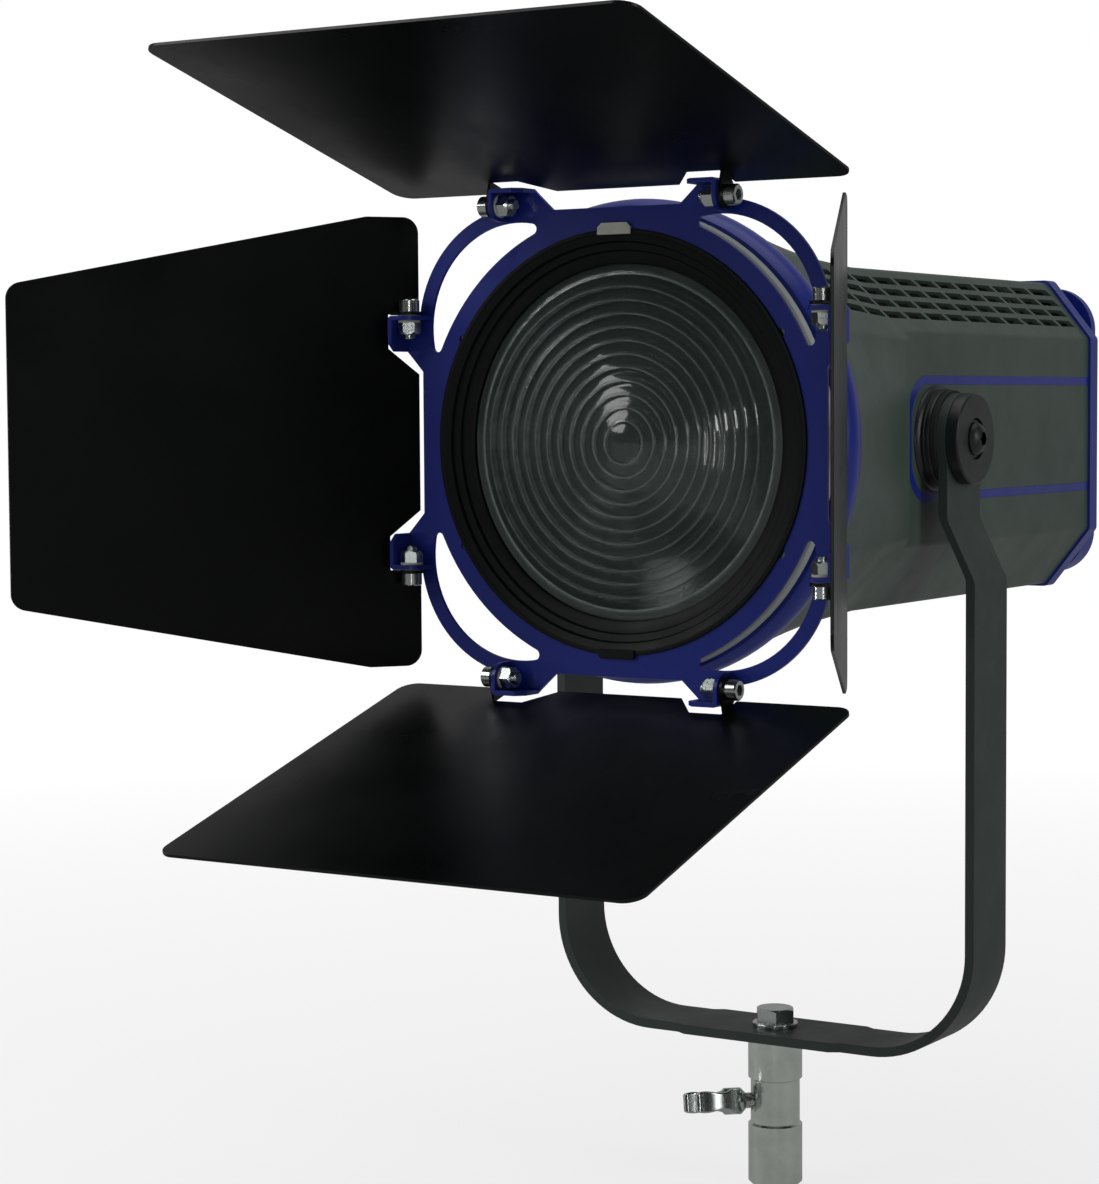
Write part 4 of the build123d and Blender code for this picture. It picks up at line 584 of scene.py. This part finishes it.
def add_baffles(materials):
    """Folded dark sheets behind the vents, which hide the works from outside."""
    axis_height = middle("fresnel_lens").z
    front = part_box("barndoor_frame")[1].y - PLATE_THICKNESS
    up = (CHAMFER_HIGH - CHAMFER_LOW).normalized()
    outwards = Vector((up.z, 0.0, -up.x))
    count = len(BAFFLE_PROFILE)
    loop = list(range(count)) + list(range(2 * count - 1, count - 1, -1))
    faces = [tuple(loop), tuple(i + 2 * count for i in reversed(loop))]
    for i, j in zip(loop, loop[1:] + loop[:1]):
        faces.append((j, i, i + 2 * count, j + 2 * count))
    for side, mirrored in (("right", 1.0), ("left", -1.0)):
        for index, span in enumerate(BAFFLE_SPANS):
            vertices = []
            for depth in span:
                for lift in (0.0, BAFFLE_SHEET):
                    for along, sunk in BAFFLE_PROFILE:
                        point = CHAMFER_LOW + up * along * MM - outwards * (sunk + lift) * MM
                        place = (mirrored * point.x, front + depth * MM, axis_height + point.z)
                        vertices.append(place)
            name = f"vent_baffle_{side}_{index + 1}"
            add_piece(name, vertices, faces, materials["bezel_black"], "head")


class PanelMarks:
    """Flat printed marks on the rear panel, gathered into one mesh."""

    def __init__(self):
        self.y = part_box("rear_panel")[1].y + MARK_LIFT
        self.vertices = []
        self.faces = []

    def shape(self, centre, outline):
        """A filled outline of (left, up) points in mm, as seen from behind the lamp."""
        first = len(self.vertices)
        self.vertices += [(centre.x - left * MM, self.y, centre.z + up * MM) for left, up in outline]
        self.faces.append(tuple(range(first, first + len(outline))))

    def tick(self, centre, angle, near, far):
        """A radial bar; angle 0 points up and grows clockwise."""
        s, c = math.sin(angle), math.cos(angle)
        half = MARK_WIDTH / 2
        corners = ((-half, near), (half, near), (half, far), (-half, far))
        self.shape(centre, [(a * c + r * s, r * c - a * s) for a, r in corners])


def add_number(text, centre, y, materials):
    """A number of the dial, to be read from behind the lamp."""
    data = bpy.data.curves.new(f"dial_number_{text}", "FONT")
    data.body = text
    data.size = NUMBER_HEIGHT * MM
    data.align_x = "CENTER"
    data.align_y = "CENTER"
    data.materials.append(materials["marks"])
    number = bpy.data.objects.new(f"dial_number_{text}", data)
    turn = Matrix(((-1, 0, 0), (0, 0, 1), (0, 1, 0))).to_4x4()
    number.matrix_world = Matrix.Translation((centre.x, y, centre.z)) @ turn
    bpy.context.scene.collection.objects.link(number)
    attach(number, "head")


def add_dial_scale(marks, materials):
    """Ticks round the dimmer knob, with a number at every other one."""
    dial = middle("dimmer_knob")
    for index in range(DIAL_STEPS + 1):
        angle = math.radians(DIAL_SWEEP * index / DIAL_STEPS - DIAL_SWEEP / 2)
        numbered = index % 2 == 0
        marks.tick(dial, angle, DIAL_TICK, DIAL_LONG if numbered else DIAL_SHORT)
        if numbered:
            offset = Vector((-math.sin(angle), 0.0, math.cos(angle))) * NUMBER_RADIUS * MM
            add_number(str(index), dial + offset, marks.y, materials)


def add_focus_scale(marks):
    """Ticks round the focus knob that grow from narrow beam to wide."""
    focus = middle("focus_knob")
    for index in range(FOCUS_STEPS + 1):
        angle = math.radians(FOCUS_SWEEP * index / FOCUS_STEPS - FOCUS_SWEEP / 2)
        marks.tick(focus, angle, FOCUS_TICK, FOCUS_SHORT + FOCUS_GROWTH * index)


def add_button_symbols(marks):
    """A three-bar menu sign, two arrows and a round enter sign above the buttons."""
    lift = Vector((0.0, 0.0, SYMBOL_LIFT * MM))
    menu = middle("button_menu") + lift
    wide, thick = MENU_HALF
    for row in MENU_ROWS:
        low, high = row - thick, row + thick
        marks.shape(menu, [(-wide, low), (wide, low), (wide, high), (-wide, high)])
    marks.shape(middle("button_down") + lift, [(left, -up) for left, up in reversed(ARROW)])
    marks.shape(middle("button_up") + lift, ARROW)
    angles = [math.tau * index / DISC_SIDES for index in range(DISC_SIDES)]
    disc = [(DISC_RADIUS * math.sin(angle), DISC_RADIUS * math.cos(angle)) for angle in angles]
    marks.shape(middle("button_enter") + lift, disc)


def add_panel_marks(materials):
    """All the marks printed on the rear panel."""
    marks = PanelMarks()
    add_dial_scale(marks, materials)
    add_focus_scale(marks)
    add_button_symbols(marks)
    paint = materials["marks"]
    add_piece("panel_marks", marks.vertices, marks.faces, paint, "head")


def add_wire(name, points, radius_mm, material):
    """A soft round wire through points, riding on the head."""
    data = bpy.data.curves.new(name, "CURVE")
    data.dimensions = "3D"
    data.bevel_depth = radius_mm * MM
    data.bevel_resolution = 3
    data.use_fill_caps = True
    line = data.splines.new("NURBS")
    line.points.add(len(points) - 1)
    for target, point in zip(line.points, points):
        target.co = (*point, 1.0)
    line.use_endpoint_u = True
    line.order_u = 3
    data.materials.append(material)
    wire = bpy.data.objects.new(name, data)
    bpy.context.scene.collection.objects.link(wire)
    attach(wire, "head")


def plug(node, shift, out):
    """Place of a lead at a connector's inner end, shift mm from its middle along out."""
    place = middle(node)
    place.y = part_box(node)[0].y + PLUG_DEPTH * MM
    return place + Vector(out) * shift * MM


def add_wires(materials):
    """Three leads from each connector to the driver board or to the supply; the middle one is red."""
    black, red = materials["black_plastic"], materials["wire"]
    leads = ((1, -1.0, black), (2, 0.0, red), (3, 1.0, black))
    board_low, board_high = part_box("driver_board")
    supply_low, supply_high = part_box("power_supply")
    board_edge = Vector((0.0, board_high.y, board_low.z))
    supply_corner = Vector((supply_low.x, supply_high.y, supply_low.z))
    for name, side in (("signal_in", -1.0), ("signal_out", 1.0)):
        for number, turn, sleeve in leads:
            shift = SIGNAL_GAP * turn
            start = plug(name, shift, (1.0, 0.0, 0.0))
            x, y, z = SIGNAL_END
            end = board_edge + Vector((side * x + shift, y, z)) * MM
            bend = start + Vector((0.0, -SIGNAL_BEND, 0.0)) * MM
            drop = end + Vector((0.0, 0.0, SIGNAL_DROP)) * MM
            add_wire(f"{name}_wire_{number}", [start, bend, drop, end], SIGNAL_WIRE, sleeve)
    for number, turn, sleeve in leads:
        shift = POWER_GAP * turn
        start = plug("power_inlet", shift, (0.0, 0.0, 1.0))
        end = supply_corner + Vector(POWER_END) * MM + Vector((0.0, 0.0, shift)) * MM
        bend = Vector((end.x - POWER_BEND[0] * MM, start.y - POWER_BEND[1] * MM, start.z))
        near = end + Vector((-POWER_RUN, 0.0, 0.0)) * MM
        add_wire(f"power_wire_{number}", [start, bend, near, end], POWER_WIRE, sleeve)


# ---------------------------------------------------------------- stage, lights and camera
def make_floor():
    """Pale seamless floor that fades to white far from the object."""
    mesh = bpy.data.meshes.new("stage_floor")
    corners = [(-1, -1), (1, -1), (1, 1), (-1, 1)]
    mesh.from_pydata([(x * FLOOR_HALF, y * FLOOR_HALF, 0) for x, y in corners], [], [(0, 1, 2, 3)])
    floor = bpy.data.objects.new("stage_floor", mesh)
    bpy.context.scene.collection.objects.link(floor)
    t = Tree("stage_pale")
    far = t.add("ShaderNodeVectorMath", {0: t.place}, operation="LENGTH").outputs["Value"]
    fade = t.spread(far, *FLOOR_FADE, FLOOR_GLOW, 1.0)
    pale = t.blend(t.noise(300.0, 2.0), *FLOOR_PALE)
    surface = t.surface(Base_Color=pale, Roughness=0.7)
    seen = t.add("ShaderNodeLightPath").outputs["Is Camera Ray"]
    strength = t.spread(seen, 0.0, 1.0, FLOOR_BOUNCE, 1.0)
    glow = t.add("ShaderNodeEmission", {"Color": WHITE, "Strength": strength}).outputs["Emission"]
    mesh.materials.append(t.done(t.mixed(fade, surface, glow)))


def make_world():
    """White to the camera; to everything else, a bright backdrop behind and a dim studio in front."""
    world = bpy.data.worlds.new("studio")
    bpy.context.scene.world = world
    world.use_nodes = True
    nodes = world.node_tree.nodes
    links = world.node_tree.links
    nodes.clear()
    where = nodes.new("ShaderNodeTexCoord").outputs["Generated"]
    dot = nodes.new("ShaderNodeVectorMath")
    dot.operation = "DOT_PRODUCT"
    forward = Vector((-math.sin(CAMERA_AZIMUTH), math.cos(CAMERA_AZIMUTH), 0.0))
    dot.inputs[1].default_value = forward
    links.new(where, dot.inputs[0])
    ramp = nodes.new("ShaderNodeMapRange")
    ramp.interpolation_type = "SMOOTHSTEP"
    links.new(dot.outputs["Value"], ramp.inputs["Value"])
    ramp.inputs["From Min"].default_value = 0.0
    ramp.inputs["From Max"].default_value = BACKDROP_EDGE
    ramp.inputs["To Min"].default_value = STUDIO_LIGHT
    ramp.inputs["To Max"].default_value = BACKDROP_LIGHT
    dim = nodes.new("ShaderNodeBackground")
    links.new(ramp.outputs["Result"], dim.inputs["Strength"])
    white = nodes.new("ShaderNodeBackground")
    white.inputs["Strength"].default_value = 1.0
    white.inputs["Color"].default_value = (*WHITE, 1.0)
    seen = nodes.new("ShaderNodeLightPath")
    mix = nodes.new("ShaderNodeMixShader")
    links.new(seen.outputs["Is Camera Ray"], mix.inputs[0])
    links.new(dim.outputs["Background"], mix.inputs[1])
    links.new(white.outputs["Background"], mix.inputs[2])
    output = nodes.new("ShaderNodeOutputWorld")
    links.new(mix.outputs["Shader"], output.inputs["Surface"])


def make_light(name, place, target, size, power):
    """A rectangular soft light, size (width, height), aimed at target."""
    data = bpy.data.lights.new(name, "AREA")
    data.shape = "RECTANGLE"
    data.size, data.size_y = size
    data.energy = power
    light = bpy.data.objects.new(name, data)
    light.location = place
    light.rotation_mode = "QUATERNION"
    light.rotation_quaternion = (Vector(target) - Vector(place)).to_track_quat("-Z", "Y")
    light.visible_camera = False
    bpy.context.scene.collection.objects.link(light)


def make_camera():
    """Camera at the viewing angle, aimed by its azimuth, elevation and roll."""
    back = Vector((
        math.sin(CAMERA_AZIMUTH) * math.cos(CAMERA_ELEVATION),
        -math.cos(CAMERA_AZIMUTH) * math.cos(CAMERA_ELEVATION),
        math.sin(CAMERA_ELEVATION),
    ))
    level = Vector((math.cos(CAMERA_AZIMUTH), math.sin(CAMERA_AZIMUTH), 0.0))
    upright = back.cross(level)
    right = math.cos(CAMERA_ROLL) * level + math.sin(CAMERA_ROLL) * upright
    up = math.cos(CAMERA_ROLL) * upright - math.sin(CAMERA_ROLL) * level
    data = bpy.data.cameras.new("camera")
    data.lens = CAMERA_LENS
    data.sensor_width = 36.0
    data.shift_x, data.shift_y = CAMERA_SHIFT
    data.clip_start = 0.05
    data.clip_end = 200.0
    camera = bpy.data.objects.new("camera", data)
    turn = Matrix((right, up, back)).transposed().to_4x4()
    camera.matrix_world = Matrix.Translation(CAMERA_PLACE) @ turn
    bpy.context.scene.collection.objects.link(camera)
    bpy.context.scene.camera = camera


looks = make_materials()
finish_nodes(looks)
add_threads(looks)
add_baffles(looks)
add_panel_marks(looks)
add_wires(looks)
make_floor()
make_world()
for settings in LIGHTS:
    make_light(*settings)
make_camera()
bpy.context.scene.view_settings.view_transform = "Standard"
